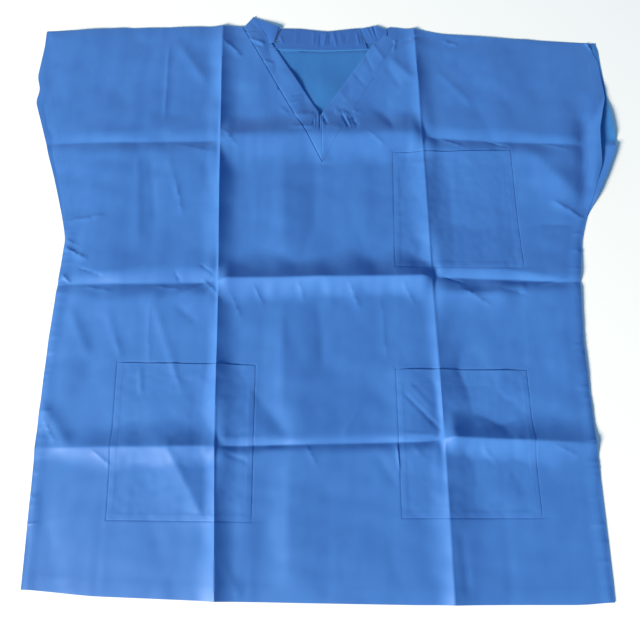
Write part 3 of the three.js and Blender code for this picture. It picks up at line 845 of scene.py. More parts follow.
# %% Raising a flat sheet
def raised(name, shape, height, material):
    """The flat mesh as an object, each point lifted to the height worked out for its place."""
    mesh = bpy.data.meshes.new(name)
    shape.to_mesh(mesh)
    shape.free()
    points = np.empty(len(mesh.vertices) * 3)
    mesh.vertices.foreach_get("co", points)
    points = points.reshape(-1, 3)
    points[:, 2] = height(points[:, 0] / MM, points[:, 1] / MM) * MM
    mesh.vertices.foreach_set("co", points.ravel())
    mesh.materials.append(material)
    mesh.shade_smooth()
    piece = bpy.data.objects.new(name, mesh)
    bpy.context.scene.collection.objects.link(piece)
    return piece


def grid_object(name, x, y, z, material):
    """A smooth sheet over a grid of points that already have their heights, all in millimetres."""
    return raised(name, flat_grid(x, y), lambda *_: z.ravel(), material)


# %% Thickness, shears and a tally
SHARP = math.radians(50.0)  # an edge that turns more than this is drawn sharp


def thicken(piece, thickness=CLOTH, side=1.0):
    """Gives a sheet its thickness. side is 1 to grow upwards and 0 to grow evenly both ways."""
    solid = piece.modifiers.new("thickness", "SOLIDIFY")
    solid.thickness = thickness * MM
    solid.offset = side
    solid.use_even_offset = False
    shaped = piece.evaluated_get(bpy.context.evaluated_depsgraph_get())
    mesh = bpy.data.meshes.new_from_object(shaped)
    single, piece.data = piece.data, mesh
    piece.modifiers.clear()
    bpy.data.meshes.remove(single)
    mesh.name = piece.name
    mesh.set_sharp_from_angle(angle=SHARP)


def cut_away(shape, a, b, c, right_end):
    """Cuts the wedge with its point at b, open from a to c, out of a flat mesh left of right_end."""
    score(shape, a, b)
    score(shape, b, c)
    score(shape, (right_end, b[1]), (right_end, c[1]))
    wedge = []
    for face in shape.faces:
        x, y, _ = face.calc_center_median()
        place = x / MM, y / MM
        if place[0] < right_end and beyond(place, a, b) > 0.0 and beyond(place, b, c) > 0.0:
            wedge.append(face)
    bmesh.ops.delete(shape, geom=wedge, context="FACES")


def report(piece):
    """Prints a piece's size. Half its closed surface is the cloth in it."""
    triangles = sum(len(p.vertices) - 2 for p in piece.data.polygons)
    area = sum(p.area for p in piece.data.polygons) / 2.0
    print(f"{piece.name}: {triangles} triangles, {area:.4f} square metres of cloth")


# %% [markdown]
# ## The finish of nonwoven
#
# Nonwoven is a mat of fine plastic fibres, welded together by small points in a slanting pattern. Seen
# close it is a little fluffy between the points and glassy in them; seen from afar it is an even
# half-matte blue. A ready-made pattern would blur near by and repeat far off, so waves and noise
# measured in metres make it instead. The bond points and the fibres are one node group, which four
# materials use with their own colours: the outer face; a darker copy of it, which paints shade on the
# neckband's back run; the inside, partly its own tone and partly painted light let through and bounced
# between the layers; and the thread.

# %% The bond points and fibres, as a node group
BOND_PITCH = 0.0021  # metres from one bond point to the next


def bonded_fibres():
    """Colour, roughness and height of the cloth from its place on the piece."""
    group = bpy.data.node_groups.new("bonded fibres", "ShaderNodeTree")
    face = group.interface
    face.new_socket("Pitch", in_out="INPUT", socket_type="NodeSocketFloat").default_value = BOND_PITCH
    face.new_socket("Colour", in_out="INPUT", socket_type="NodeSocketColor")
    face.new_socket("Deep Colour", in_out="INPUT", socket_type="NodeSocketColor")
    face.new_socket("Colour", in_out="OUTPUT", socket_type="NodeSocketColor")
    face.new_socket("Height", in_out="OUTPUT", socket_type="NodeSocketFloat")
    face.new_socket("Roughness", in_out="OUTPUT", socket_type="NodeSocketFloat")
    nodes, links = group.nodes, group.links
    given, result = nodes.new("NodeGroupInput"), nodes.new("NodeGroupOutput")

    def math_node(operation, a, b=None):
        """One step of arithmetic. Each of a and b is a number or another node's output."""
        node = nodes.new("ShaderNodeMath")
        node.operation = operation
        for socket, value in zip(node.inputs, (a, b)):
            if isinstance(value, (int, float)):
                socket.default_value = value
            elif value is not None:
                links.new(value, socket)
        return node.outputs[0]

    def noise_node(scale, detail, stretch):
        """Noise over the piece, its hills stretched along y where y's share is small."""
        mapping, texture = nodes.new("ShaderNodeMapping"), nodes.new("ShaderNodeTexNoise")
        mapping.inputs["Scale"].default_value = stretch
        texture.inputs["Scale"].default_value = scale
        texture.inputs["Detail"].default_value = detail
        links.new(place, mapping.inputs["Vector"])
        links.new(mapping.outputs[0], texture.inputs["Vector"])
        return texture.outputs["Fac"]

    place = nodes.new("ShaderNodeTexCoord").outputs["Object"]
    split = nodes.new("ShaderNodeSeparateXYZ")
    links.new(place, split.inputs[0])
    turns = math_node("DIVIDE", math.tau, given.outputs["Pitch"])
    slant_up = math_node("ADD", split.outputs["X"], split.outputs["Y"])
    slant_down = math_node("SUBTRACT", split.outputs["X"], split.outputs["Y"])
    waves = [math_node("COSINE", math_node("MULTIPLY", s, turns)) for s in (slant_up, slant_down)]
    together = math_node("MULTIPLY", math_node("ADD", waves[0], 1.0), math_node("ADD", waves[1], 1.0))
    points = math_node("MULTIPLY", math_node("MULTIPLY", together, together), 1.0 / 16.0)

    fibres = noise_node(2600.0, 3.0, (1.0, 0.35, 1.0))
    clouds = noise_node(55.0, 5.0, (1.0, 0.6, 1.0))
    streaks = noise_node(26.0, 2.0, (1.0, 0.09, 1.0))
    fluff = math_node("MULTIPLY", math_node("SUBTRACT", fibres, 0.5), 0.6)
    links.new(math_node("SUBTRACT", fluff, points), result.inputs["Height"])

    mottle = math_node("ADD", math_node("MULTIPLY", clouds, 0.7), math_node("MULTIPLY", streaks, 0.5))
    mottle = math_node("ADD", math_node("MULTIPLY", math_node("SUBTRACT", mottle, 0.6), 1.6), 0.35)
    deeper = math_node("ADD", mottle, math_node("MULTIPLY", points, 0.25))
    mix = nodes.new("ShaderNodeMix")
    mix.data_type = "RGBA"
    mix.clamp_factor = True
    links.new(deeper, mix.inputs["Factor"])
    links.new(given.outputs["Colour"], mix.inputs["A"])
    links.new(given.outputs["Deep Colour"], mix.inputs["B"])
    links.new(mix.outputs["Result"], result.inputs["Colour"])
    matte = math_node("ADD", math_node("MULTIPLY", fibres, 0.16), 0.45)
    matte = math_node("SUBTRACT", matte, math_node("MULTIPLY", points, 0.14))
    links.new(matte, result.inputs["Roughness"])
    return group


FIBRES = bonded_fibres()


# %% The materials
BUMP_STRENGTH, BUMP_HEIGHT = 0.5, 0.00012


def nonwoven(name, colour, deep):
    """The cloth's material: the fibre group feeds colour, roughness and a fine bump."""
    material = bpy.data.materials.new(name)
    material.use_nodes = True
    nodes, links = material.node_tree.nodes, material.node_tree.links
    shader = next(n for n in nodes if n.type == "BSDF_PRINCIPLED")
    fibres = nodes.new("ShaderNodeGroup")
    fibres.node_tree = FIBRES
    fibres.inputs["Colour"].default_value = (*colour, 1.0)
    fibres.inputs["Deep Colour"].default_value = (*deep, 1.0)
    relief = nodes.new("ShaderNodeBump")
    relief.inputs["Strength"].default_value = BUMP_STRENGTH
    relief.inputs["Distance"].default_value = BUMP_HEIGHT
    links.new(fibres.outputs["Colour"], shader.inputs["Base Color"])
    links.new(fibres.outputs["Roughness"], shader.inputs["Roughness"])
    links.new(fibres.outputs["Height"], relief.inputs["Height"])
    links.new(relief.outputs["Normal"], shader.inputs["Normal"])
    shader.inputs["Specular IOR Level"].default_value = 0.4
    shader.inputs["Sheen Weight"].default_value = 0.16
    shader.inputs["Sheen Roughness"].default_value = 0.45
    return material


OUTER = nonwoven("nonwoven face", (0.0515, 0.181, 0.500), (0.0372, 0.143, 0.440))
# A darker copy of the outer face for the neckband's back run: painted shade, as that run slopes away from
# the window.
SHADED_FACE = nonwoven("nonwoven face with painted shade", (0.0390, 0.145, 0.445), (0.0295, 0.117, 0.390))
# The inside, darker and greener than the outer face: partly its own tone, partly painted light let through
# and bounced between the layers.
INNER = nonwoven("nonwoven inside", (0.0330, 0.167, 0.440), (0.0250, 0.135, 0.388))
THREAD = nonwoven("sewing thread", (0.085, 0.230, 0.600), (0.060, 0.180, 0.520))
print("finishes:", [m.name for m in (OUTER, SHADED_FACE, INNER, THREAD)])

# %% [markdown]
# ## The two panels
#
# Front and back are cut alike and sewn at the shoulders and sides. The back lies face down on the
# table, so its inside shows in the neck and where a cuff gapes. A grid made round the V would bend away
# from the folds, so both are grids between their side edges, with the V cut out of the front afterwards,
# the way shears would cut it. Lines scored beside the seams give their relief its own edges.

# %% Where the panels' grid lines run
LOW_LEFT, LOW_RIGHT, CHEST = "lower_pocket_left", "lower_pocket_right", "chest_pocket"


def along_pockets(*stretches):
    """One line over the panel that follows an edge of each pocket in turn, from one place to another."""
    points = []
    for node, edge, *places in stretches:
        points += [(place, float(POCKETS[node][edge](place))) for place in places]
    return line(*zip(*points))


def panel_grid(lines, **spacing):
    """A grid between a panel's own lines that follows its folds and the edges of its pockets."""
    x_lines = [
        lines["left"],
        along_pockets((LOW_LEFT, "left", -290.0, -111.0)),
        fold_left,
        along_pockets((LOW_LEFT, "right", -290.0, -115.0)),
        along_pockets((LOW_RIGHT, "left", -287.0, -119.0), (CHEST, "left", 8.0, 166.0)),
        fold_right,
        along_pockets((LOW_RIGHT, "right", -287.0, -120.0), (CHEST, "right", 8.0, 168.0)),
        lines["right"],
    ]
    y_lines = [
        lines["hem"],
        along_pockets((LOW_LEFT, "bottom", -239.0, -79.0), (LOW_RIGHT, "bottom", 88.0, 243.0)),
        cross_fold("low"),
        cross_fold("waist"),
        along_pockets((CHEST, "bottom", 89.0, 246.0)),
        cross_fold("chest"),
        lines["shoulder"],
    ]
    return crossings(x_lines, y_lines, **spacing)


# %% Back panel
BACK_NEAR = 1.8  # mesh step beside a fold of the back
CUFF_HEM = 15.0  # the cuffs are turned to the inside, so the outer face shows along them
CUFF_START, NOTCH = 60.0, 182.0  # y where the cuffs begin, and of the notch in the right one
NECK_SCORES = -2.7, -1.4, -0.4, 0.4  # lines scored beside the neckline's seam
NECK_MARGIN = 3.0  # and how far round each of them faces are cut

back_shape = flat_grid(*panel_grid(BACK, near=BACK_NEAR))
for offset in NECK_SCORES:
    for (x0, y0), (x1, y1) in zip(NECK_SEAM, NECK_SEAM[1:]):
        score(back_shape, (x0, y0 + offset), (x1, y1 + offset), NECK_MARGIN)
back = raised("back_panel_cloth", back_shape, lambda x, y: BACK_FLOOR + back_lift(x, y), INNER)
thicken(back)
back.data.materials.append(OUTER)
for face in back.data.polygons:
    x, y = face.center.x / MM, face.center.y / MM
    in_hem = x < BACK["left"](y) + CUFF_HEM or (x > BACK["right"](y) - CUFF_HEM and y < NOTCH)
    face.material_index = 1 if face.normal.z < 0.0 or (in_hem and y > CUFF_START) else 0
report(back)

# %% Front panel, with its V cut out
SEAM_ALLOWANCE = 8.0  # the V is cut so far inside its seam, under the neckband
PAST_SHOULDER = 0.2  # the shears run on past the shoulder by this share of the cut
V_RIGHT_END = 89.0  # where the front's right shoulder begins

past_left = V_TOP_LEFT + PAST_SHOULDER * (V_TOP_LEFT - V_TIP)
past_right = V_TOP_RIGHT + PAST_SHOULDER * (V_TOP_RIGHT - V_TIP)
cut_left, _ = moved_left(past_left, V_TIP, SEAM_ALLOWANCE)
_, cut_right = moved_left(V_TIP, past_right, SEAM_ALLOWANCE)
cut_tip = V_TIP + np.array([0.0, 2.0 * SEAM_ALLOWANCE])
front_shape = flat_grid(*panel_grid(FRONT))
cut_away(front_shape, cut_left, cut_tip, cut_right, V_RIGHT_END)


# %% Lines scored into the front, and its folds raised
def beside(pocket, edge, distance):
    """The line beside one edge of a pocket, as a function."""
    return lambda place: pocket[edge](place) + distance


def inset(pocket, sides, bottom, mouth):
    """A pocket's corners moved in from its edges: down its left side, and up its right one."""
    left, right = beside(pocket, "left", sides), beside(pocket, "right", -sides)
    low, high = beside(pocket, "bottom", bottom), beside(pocket, "mouth", -mouth)
    return [meeting(left, high), meeting(left, low), meeting(right, low), meeting(right, high)]


BAND_SCORES = 0.0, 0.5, 2.2, 5.0  # distances out from the neckband's seam
POCKET_SCORES = 0.0, 0.9, 2.4, 5.0  # and from a pocket's edge
FINE_FLANK = 5  # a crease with a flank as short as this needs a mesh edge of its own

for start, end in ((V_TOP_LEFT, V_TIP), (V_TIP, V_TOP_RIGHT), (V_TOP_RIGHT, V_END_RIGHT)):
    score_beside(front_shape, start, end, BAND_SCORES)
for pocket in POCKETS.values():
    places = inset(pocket, 0.0, 0.0, 0.0)
    for start, end in zip(places, places[1:] + places[:1]):
        score_beside(front_shape, start, end, POCKET_SCORES)
for x0, y0, x1, y1, _, lower_left, upper_right in FRONT_CREASES:
    if min(lower_left, upper_right) <= FINE_FLANK:
        score(front_shape, (x0, y0), (x1, y1), SCORE_MARGIN)
front = raised("front_panel_cloth", front_shape, lambda x, y: FRONT_FLOOR + front_lift(x, y), OUTER)
thicken(front)
report(front)

# %% [markdown]
# ## The neckband
#
# The neckband is a strip folded lengthwise, so its free edge is a soft round fold and its raw edges are
# hidden in the seam. A thick plate with a bevel would look moulded, so each run is a grid wrapped round
# that fold, as the cloth is: out along the underside, round, and back over the top.

# %% Wrapping a strip round its fold
BAND_THICKNESS = 0.95  # height of the folded strip, between the middles of its two layers
BAND_CLOTH = 0.3  # thickness of each of them
OUT_STEPS, FOLD_STEPS = 18, 7  # across the strip, and round its fold
PUFF_REACH = 3.0  # how far from the seam the strip has filled out
BAND_CREASES = [  # short creases in the bands alone, in the columns of the others
    (-108, 353, -86, 355, -0.7, 3, 3),
    (-101, 341, -76, 331, 1.1, 5, 6),
    (-92, 331, -80, 327, -0.7, 3, 4),
    (-80, 306, -62, 300, 0.8, 9, 5),
    (-42, 251, -22, 256, -0.7, 3, 2.5),
    (-48, 239, -28, 243, 0.5, 3, 3),
    (-40, 222, -8, 222, 1.2, 12, 14),
    (56, 322, 68, 286, -0.6, 8, 9),
    (38, 294, 58, 264, -0.45, 6, 8),
    (66, 336, 84, 304, 0.8, 12, 10),
    (20, 262, 36, 240, 0.3, 6, 6),
    (5, 226, 19, 226, -0.6, 3, 3),
    (14, 229, 38, 221, 1.1, 4, 4),
    (18, 234, 36, 228, -0.5, 2.5, 3),
]


def wrapped(width, near_edge):
    """Distance from the seam and height above the underside, round the folded strip's section."""
    radius = BAND_THICKNESS / 2.0
    out = np.linspace(0.0, width - radius, OUT_STEPS)
    turn = np.linspace(-math.pi / 2.0, math.pi / 2.0, FOLD_STEPS)[1:-1]
    aside = np.concatenate([out, width - radius + radius * np.cos(turn), out[::-1]])
    puff = near_edge + (BAND_THICKNESS - near_edge) * (1.0 - fading(out[::-1], PUFF_REACH))
    height = np.concatenate([np.zeros_like(out), radius + radius * np.sin(turn), puff])
    return aside, height


# %% A run of the neckband
def folded_strip(name, outer, inner, floor, count, near_edge, material=OUTER):
    """A band between its seam line and its fold line, each given as points at matching places.

    floor(x, y) is the height of its underside, count its steps along, near_edge its height at the seam.
    """
    share = np.linspace(0.0, 1.0, count)[:, None]
    along = np.linspace(0.0, 1.0, len(outer))
    seam = np.hstack([np.interp(share, along, outer[:, k]) for k in (0, 1)])
    fold = np.hstack([np.interp(share, along, inner[:, k]) for k in (0, 1)])
    width = np.linalg.norm(fold - seam, axis=1)
    aside, height = wrapped(float(width.mean()), near_edge)
    reach = (aside / width.mean())[None, :]
    x = seam[:, :1] + (fold[:, :1] - seam[:, :1]) * reach
    y = seam[:, 1:] + (fold[:, 1:] - seam[:, 1:]) * reach
    z = floor(x, y) + height[None, :]
    band = grid_object(name, x, y, z, material)
    thicken(band, BAND_CLOTH, 0.0)
    report(band)
    return band


DROOP_FROM, DROOP_OVER = 9.0, 12.0  # from the seam, the band droops over this width
BAND_SINK = 0.9  # how far it can sink below the front


def under_v_band(x, y):
    """Underside of the V's bands: on the seam allowance, then down on the back, with creases across."""
    from_left, from_right = beyond((x, y), V_TOP_LEFT, V_TIP), beyond((x, y), V_TIP, V_TOP_RIGHT)
    left_run = x < V_TIP[0]
    lift = front_lift(x, y) - neck_seam(x, y) - np.where(left_run, UNDER_BAND, 0.0)
    droop = smooth((np.where(left_run, from_left, from_right) - DROOP_FROM) / DROOP_OVER)
    lift = lift - droop * np.where(left_run, 0.5 - 0.9 * bell(y - 275.0, 30.0), 0.6)
    lift = with_rows(lift, x, y, crease, BAND_CREASES)
    return FRONT_FLOOR + ON_FRONT + np.maximum(lift, -BAND_SINK)


# %% Left and right runs of the neckband
left_inner_top, left_point = corner("neckband_left", 0, 1), corner("neckband_left", 1, 0.4)
right_tip, right_point = corner("neckband_right", 0, -1), corner("neckband_right", -1, 0.4)
left_seam, left_fold = np.array([V_TIP, V_TOP_LEFT]), np.array([left_point, left_inner_top])
right_seam, right_fold = np.array([V_TOP_RIGHT, right_tip]), np.array([V_END_RIGHT, right_point])
band_left = folded_strip(
    "neckband_left_cloth", left_seam, left_fold, under_v_band, count=150, near_edge=0.3)
band_right = folded_strip(
    "neckband_right_cloth", right_seam, right_fold, under_v_band, count=140, near_edge=0.75)

# %% [markdown]
# The back run follows the back neckline. At each shoulder the band turns over on itself, which leaves a
# small doubled corner standing up beside the front's band: a plain one on the left, a crumpled one on
# the right. Strip and corners are one piece of cloth, so they are joined into one object.

# %% Back run of the neckband
BACK_RUN = [  # x of the seam, then x and y of the fold along the strip
    (60.5, 51.0, 358.0), (40.0, 40.0, 357.0), (0.0, 6.0, 352.5),
    (-30.0, -32.0, 357.0), (-63.5, -56.8, 357.5),
]
ON_BACK = 0.22  # gap left between the back and the band over it
BACK_RUN_CREASES = [
    (6, 354, 2, 326, 0.8, 3, 3), (11, 352, 10, 330, -0.8, 3, 3), (15, 353, 20, 326, 0.9, 4, 2),
    (-2, 352, -3, 326, -0.8, 3, 3), (-11, 354, -12, 328, 0.5, 4, 2.5), (24, 354, 27, 330, 0.4, 4, 4),
    (34, 350, 31, 332, -0.4, 4, 4), (47, 352, 50, 328, 0.6, 4, 3), (54, 350, 57, 330, -0.6, 4, 3),
    (-58, 346, -52, 332, 0.7, 4, 3), (-64, 342, -56, 336, -0.6, 3, 3), (-34, 352, -36, 330, 0.3, 6, 6),
]


def under_back_band(x, y):
    """Underside of the back run, with creases across."""
    lift = with_rows(back_lift(x, y), x, y, crease, BACK_RUN_CREASES)
    return BACK_FLOOR + CLOTH + ON_BACK + lift


seam_x, fold_x, fold_y = np.array(BACK_RUN).T
back_seam = np.stack([seam_x, np.interp(seam_x, *zip(*NECK_SEAM))], axis=1)
back_fold = np.stack([fold_x, fold_y], axis=1)
# The back run is drawn in the darker copy of the face, which paints its shade.
band_back = folded_strip(
    "neckband_back_cloth", back_seam, back_fold, under_back_band,
    count=110, near_edge=0.5, material=SHADED_FACE)

# %% The turned corners at the two shoulders
CORNER_THICKNESS = 0.7
CORNER_LEFT = [(-93.0, 374.5), (-57.5, 358.5), (-73.0, 334.0), (-64.5, 333.5)]  # top, then bottom
CORNER_RIGHT = [
    (51.5, 357.0), (60.0, 358.0), (71.5, 361.5), (88.0, 355.0),
    (59.5, 334.0), (68.0, 334.0), (76.0, 335.0), (88.0, 336.0),
]
PLEATS = [  # over the right corner: share across, height, width as a share
    (0.18, 0.3, 0.12), (0.36, 0.4, 0.07), (0.46, -0.4, 0.06), (0.52, 0.5, 0.07),
    (0.60, -0.7, 0.05), (0.76, 0.3, 0.12),
]


def turned_corner(name, points, height, columns, rows):
    """A doubled corner between its top line and its bottom line."""
    half = len(points) // 2
    across, down = np.meshgrid(np.linspace(0.0, 1.0, columns), np.linspace(1.0, 0.0, rows))
    places = np.linspace(0.0, 1.0, half)
    top = [np.interp(across, places, [p[k] for p in points[:half]]) for k in (0, 1)]
    low = [np.interp(across, places, [p[k] for p in points[half:]]) for k in (0, 1)]
    x, y = (t * (1.0 - down) + b * down for t, b in zip(top, low))
    piece = grid_object(name, x, y, height(across, down), OUTER)
    thicken(piece, CORNER_THICKNESS, 0.0)
    return piece


def left_corner_height(across, down):
    """Low under the front's band, highest along its free right edge, and rounded down at that edge."""
    return 1.6 + 1.9 * smooth(across / 0.9) - 0.8 * smooth((across - 0.94) / 0.06) + 0.2 * down


def right_corner_height(across, down):
    """Rising from its left edge, and pleated most at its top."""
    height = 1.9 + 0.6 * smooth(across / 0.5) - 0.6 * (1.0 - down)
    for at, high, wide in PLEATS:
        height = height + high * bell(across - at - 0.05 * down, wide) * smooth(1.1 - down)
    return height


turned = [
    turned_corner("corner_left", CORNER_LEFT, left_corner_height, columns=40, rows=30),
    turned_corner("corner_right", CORNER_RIGHT, right_corner_height, columns=60, rows=24),
]
joined = bmesh.new()
for piece in (band_back, *turned):
    joined.from_mesh(piece.data)
joined.to_mesh(band_back.data)
joined.free()
for piece in turned:
    bpy.data.objects.remove(piece)
report(band_back)

# %% [markdown]
# ## The pockets
#
# Each patch pocket is a square of the same cloth, its edges turned under and stitched down, so it takes
# every fold of the panel below it. It could be cut out of a copy of the panel, but it has edges of its
# own, so it gets a finer grid that shares the panel's fold lines: the folds stay crisp where they run
# through both.

# %% Pockets
TURNED = 7.0  # width of a pocket's turned-under edge
MOUTH_HEM = 17.0
STITCH_IN = 2.4  # from a sewn edge to its stitches
FROM_FOLD = 2.0  # from the inner edge of a hem to its stitches
DOUBLE_RISE = 0.12  # how much higher the cloth stands where it is double
STITCH_DIP, MOUTH_DIP = 0.10, 0.12  # how deep the thread pulls it down
GAPE = 0.9  # how far the mouth stands open


def pocket_relief(pocket, x, y, seed):
    """What stands on top of the panel's own form: the doubled edges, the stitch valleys and the mouth."""
    sewn, down = inside(pocket, x, y)
    doubled = smooth((TURNED - sewn) / 2.4 + 0.5)
    hemmed = smooth((MOUTH_HEM - down) / 2.0 + 0.5)
    lift = DOUBLE_RISE * np.maximum(doubled, hemmed)
    drawn = 0.7 + 0.3 * noise(x, y, 4.0, 4.0, seed)
    lift -= STITCH_DIP * drawn * bell(sewn - STITCH_IN, 1.0)
    lift -= MOUTH_DIP * drawn * bell(down - MOUTH_HEM + FROM_FOLD, 1.2)
    away = np.minimum(x - pocket["left"](y), y - pocket["bottom"](x))
    lift -= 0.14 * fading(sewn, 0.9) + 0.22 * fading(away, 6.0)
    uneven = 0.5 + 0.5 * noise(x, y, 30.0, STEADY, seed + 5)
    return lift + GAPE * uneven * fading(down, 9.0) * smooth((sewn - 2.0) / 20.0)


POCKET_SEEDS = {"chest_pocket": 91, "lower_pocket_left": 92, "lower_pocket_right": 93}


def under_pocket(node, x, y):
    """Height of a pocket's underside, in millimetres over the table."""
    relief = pocket_relief(POCKETS[node], x, y, POCKET_SEEDS[node])
    return FRONT_FLOOR + ON_FRONT + front_lift(x, y) + relief


def patch(node, lengthwise, across):
    """A pocket's cloth, its grid following its edges and hems and the folds that cross it."""
    edges = POCKETS[node]
    turned_left, turned_right = beside(edges, "left", TURNED), beside(edges, "right", -TURNED)
    turned_up, hemmed = beside(edges, "bottom", TURNED), beside(edges, "mouth", -MOUTH_HEM)
    x_lines = [edges["left"], turned_left, lengthwise, turned_right, edges["right"]]
    y_lines = [edges["bottom"], turned_up, *across, hemmed, edges["mouth"]]
    x, y = crossings(x_lines, y_lines, near=1.0, far=2.4)
    cloth = grid_object(node + "_cloth", x, y, under_pocket(node, x, y), OUTER)
    thicken(cloth)
    report(cloth)
    return cloth


POCKET_FOLDS = {
    "chest_pocket": (fold_right, []),
    "lower_pocket_left": (fold_left, [cross_fold("low")]),
    "lower_pocket_right": (fold_right, [cross_fold("low")]),
}
pockets = {node: patch(node, *folds) for node, folds in POCKET_FOLDS.items()}

# %% [markdown]
# ## Thread
#
# The stitches are a plain lockstitch in thread of the cloth's own blue: short rounded bars with a gap
# between them, each lying in its own small dip. They hold down the pockets, the pockets' mouths, the
# hem and the cuffs. A bump in the material could hint at them, but real bars catch the light, and they
# belong to the piece that they are sewn through.

# %% Stitches
STITCH_PITCH, STITCH_LENGTH, THREAD_RADIUS = 3.3, 2.3, 0.15
STITCH_PROFILE = [(0.0, 0.0), (0.12, 0.75), (0.5, 1.0), (0.88, 0.75), (1.0, 0.0)]  # share along, width
THREAD_SIDES = [(math.cos(a), math.sin(a)) for a in np.arange(5) * math.tau / 5.0 + math.pi / 2.0]


def stitch_ends(path):
    """Both ends of each stitch along a path of points in millimetres."""
    path = np.array(path, dtype=float)
    lengths = np.concatenate([[0.0], np.cumsum(np.linalg.norm(np.diff(path, axis=0), axis=1))])
    at = np.arange(STITCH_PITCH / 2.0, lengths[-1], STITCH_PITCH)
    return [np.stack([np.interp(at + d, lengths, path[:, k]) for k in (0, 1)], axis=1)
            for d in (-STITCH_LENGTH / 2.0, STITCH_LENGTH / 2.0)]


def stitch_rings(start, end, low, high):
    """Rings of points round one stitch: a single point at each end, and a small ring between."""
    (x0, y0), (x1, y1) = start, end
    length = math.hypot(x1 - x0, y1 - y0)
    side_x, side_y = (y0 - y1) / length, (x1 - x0) / length
    rings = []
    for along, wide in STITCH_PROFILE:
        x, y, z = x0 + (x1 - x0) * along, y0 + (y1 - y0) * along, low + (high - low) * along
        z += THREAD_RADIUS * (0.6 * wide - 0.3)
        sides = THREAD_SIDES if wide else THREAD_SIDES[:1]
        around = [(c * wide * THREAD_RADIUS, s * wide * THREAD_RADIUS) for c, s in sides]
        rings.append([((x + side_x * c) * MM, (y + side_y * c) * MM, (z + s) * MM) for c, s in around])
    return rings


def sew(piece, paths, top):
    """Adds stitches along each path to a piece, lying on the surface whose height top(x, y) gives."""
    starts, ends = (np.concatenate(e) for e in zip(*map(stitch_ends, paths)))
    mesh = bmesh.new()
    mesh.from_mesh(piece.data)
    slot = len(piece.data.materials)
    piece.data.materials.append(THREAD)
    for stitch in zip(starts, ends, top(*starts.T), top(*ends.T)):
        rings = [[mesh.verts.new(point) for point in ring] for ring in stitch_rings(*stitch)]
        for one, other in zip(rings, rings[1:]):
            for k in range(len(THREAD_SIDES)):
                near = one[k % len(one)], one[(k + 1) % len(one)]
                far = other[(k + 1) % len(other)], other[k % len(other)]
                face = mesh.faces.new(list(dict.fromkeys(near + far)))
                face.material_index, face.smooth = slot, True
    mesh.to_mesh(piece.data)
    mesh.free()
    print(f"{piece.name}: {len(starts)} stitches")


# %% Stitches of the pockets
MOUTH_STITCH_IN = 4.0  # from a pocket's sides to the ends of its mouth's stitches


def sew_pocket(node, cloth):
    """Stitches round a pocket's sewn edges, and along the hem of its mouth."""
    edge_path = inset(POCKETS[node], STITCH_IN, STITCH_IN, 1.0)
    mouth_left, *_, mouth_right = inset(POCKETS[node], MOUTH_STITCH_IN, 0.0, MOUTH_HEM - FROM_FOLD)
    sew(cloth, [edge_path, [mouth_left, mouth_right]], lambda x, y: under_pocket(node, x, y) + CLOTH)


for node, cloth in pockets.items():
    sew_pocket(node, cloth)

# %% Stitches of the hem and the cuffs
PATH_STEP = 4.0


def hem_path(edge, start, stop, inward):
    """A path beside the front's hem, from one x to another, or beside a cuff, from one y to another."""
    places = np.arange(start, stop, PATH_STEP)
    moved_in = FRONT[edge](places) + inward
    return np.stack([places, moved_in] if edge == "hem" else [moved_in, places], axis=1)


front_paths = [
    hem_path("hem", -316.0, 308.0, HEM_DEPTH - FROM_FOLD),
    hem_path("left", 70.0, 345.0, CUFF_HEM - FROM_FOLD),
    hem_path("right", 96.0, 325.0, FROM_FOLD - CUFF_HEM),
]
sew(front, front_paths, lambda x, y: FRONT_FLOOR + front_lift(x, y) + CLOTH)

# %% [markdown]
# ## What each piece stands for
#
# The imported model keeps the solids that the top is handled and simulated with. Each piece of cloth
# stands for one of them and rides on the part's only body, and the solid it stands for is hidden. The
# size that each was cut to before it was folded into its packet is printed.

# %% Every piece rides on the part's one body, and stands for its solid
panels = {"back_panel": back, "front_panel": front}
bands = {"neckband_left": band_left, "neckband_right": band_right, "neckband_back": band_back}
cloths = {**panels, **bands, **pockets}
for node, piece in cloths.items():
    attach(piece, "root")
    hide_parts(node)

# %% The flat cut of each piece, before it was folded into the packet
CUTS = {  # width and length of the rectangle it is cut from, area of the cut, what it lies on
    "back_panel": (0.790, 0.760, 0.518, []),
    "front_panel": (0.790, 0.760, 0.505, ["back_panel"]),
    "neckband_left": (0.068, 0.248, 0.0151, ["front_panel"]),
    "neckband_right": (0.072, 0.222, 0.0141, ["front_panel"]),
    "neckband_back": (0.080, 0.158, None, ["back_panel"]),
    "chest_pocket": (0.171, 0.184, None, ["front_panel"]),
    "lower_pocket_left": (0.175, 0.203, None, ["front_panel"]),
    "lower_pocket_right": (0.170, 0.194, None, ["front_panel"]),
}
for node, (width, length, area, under) in CUTS.items():
    print(node, "cut from", width, "by", length)

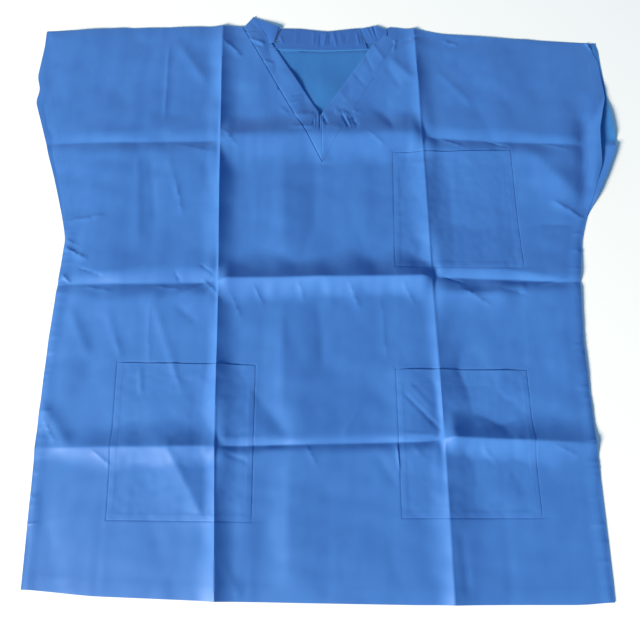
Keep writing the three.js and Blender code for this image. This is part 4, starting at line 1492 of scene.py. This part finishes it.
# %% [markdown]
# ## The table and the light
#
# A plain pale table, one broad soft window low beyond the left end of the hem, and an even sky. Folds a
# few millimetres high would vanish under a light from above, so the window stands low, where each ridge
# has a lit and a shaded flank, and the bluish sky fills the shade.

# %% Table
TABLE = 6.0  # metres from the middle of the top to each edge of the table
TABLE_WHITE = (0.98, 0.935, 0.865, 1.0)

table = bpy.data.objects.new("table", bpy.data.meshes.new("table"))
table_corners = [(-TABLE, -TABLE, 0.0), (TABLE, -TABLE, 0.0), (TABLE, TABLE, 0.0), (-TABLE, TABLE, 0.0)]
table.data.from_pydata(table_corners, [], [(0, 1, 2, 3)])
bpy.context.scene.collection.objects.link(table)
white = bpy.data.materials.new("white table")
white.use_nodes = True
white_shader = next(n for n in white.node_tree.nodes if n.type == "BSDF_PRINCIPLED")
white_shader.inputs["Base Color"].default_value = TABLE_WHITE
white_shader.inputs["Roughness"].default_value = 0.9
table.data.materials.append(white)

# %% Sky
SKY_COLOUR, SKY_STRENGTH = (0.26, 0.56, 1.0, 1.0), 0.48

bpy.context.scene.view_settings.view_transform = "Standard"
sky = bpy.data.worlds.new("sky")
sky.use_nodes = True
background = sky.node_tree.nodes["Background"]
background.inputs["Color"].default_value = SKY_COLOUR
background.inputs["Strength"].default_value = SKY_STRENGTH
bpy.context.scene.world = sky

# %% Window
WINDOW_DISTANCE, WINDOW_SIZE = 6.5, 1.9
WINDOW_BRIGHTNESS = 8.1  # watts that reach each square metre facing it, over the middle of the top
WINDOW_COLOUR = (1.0, 0.93, 0.765)

toward_window = mathutils.Vector((-0.69, -0.61, 0.372)).normalized()
window = bpy.data.objects.new("window", bpy.data.lights.new("window", "AREA"))
window.data.shape = "DISK"
window.data.size = WINDOW_SIZE
window.data.energy = WINDOW_BRIGHTNESS * math.pi * WINDOW_DISTANCE**2
window.data.color = WINDOW_COLOUR
window.location = toward_window * WINDOW_DISTANCE
window.rotation_euler = toward_window.to_track_quat("Z", "Y").to_euler()
bpy.context.scene.collection.objects.link(window)
print(f"window {math.degrees(math.asin(toward_window.z)):.0f} degrees over the table")
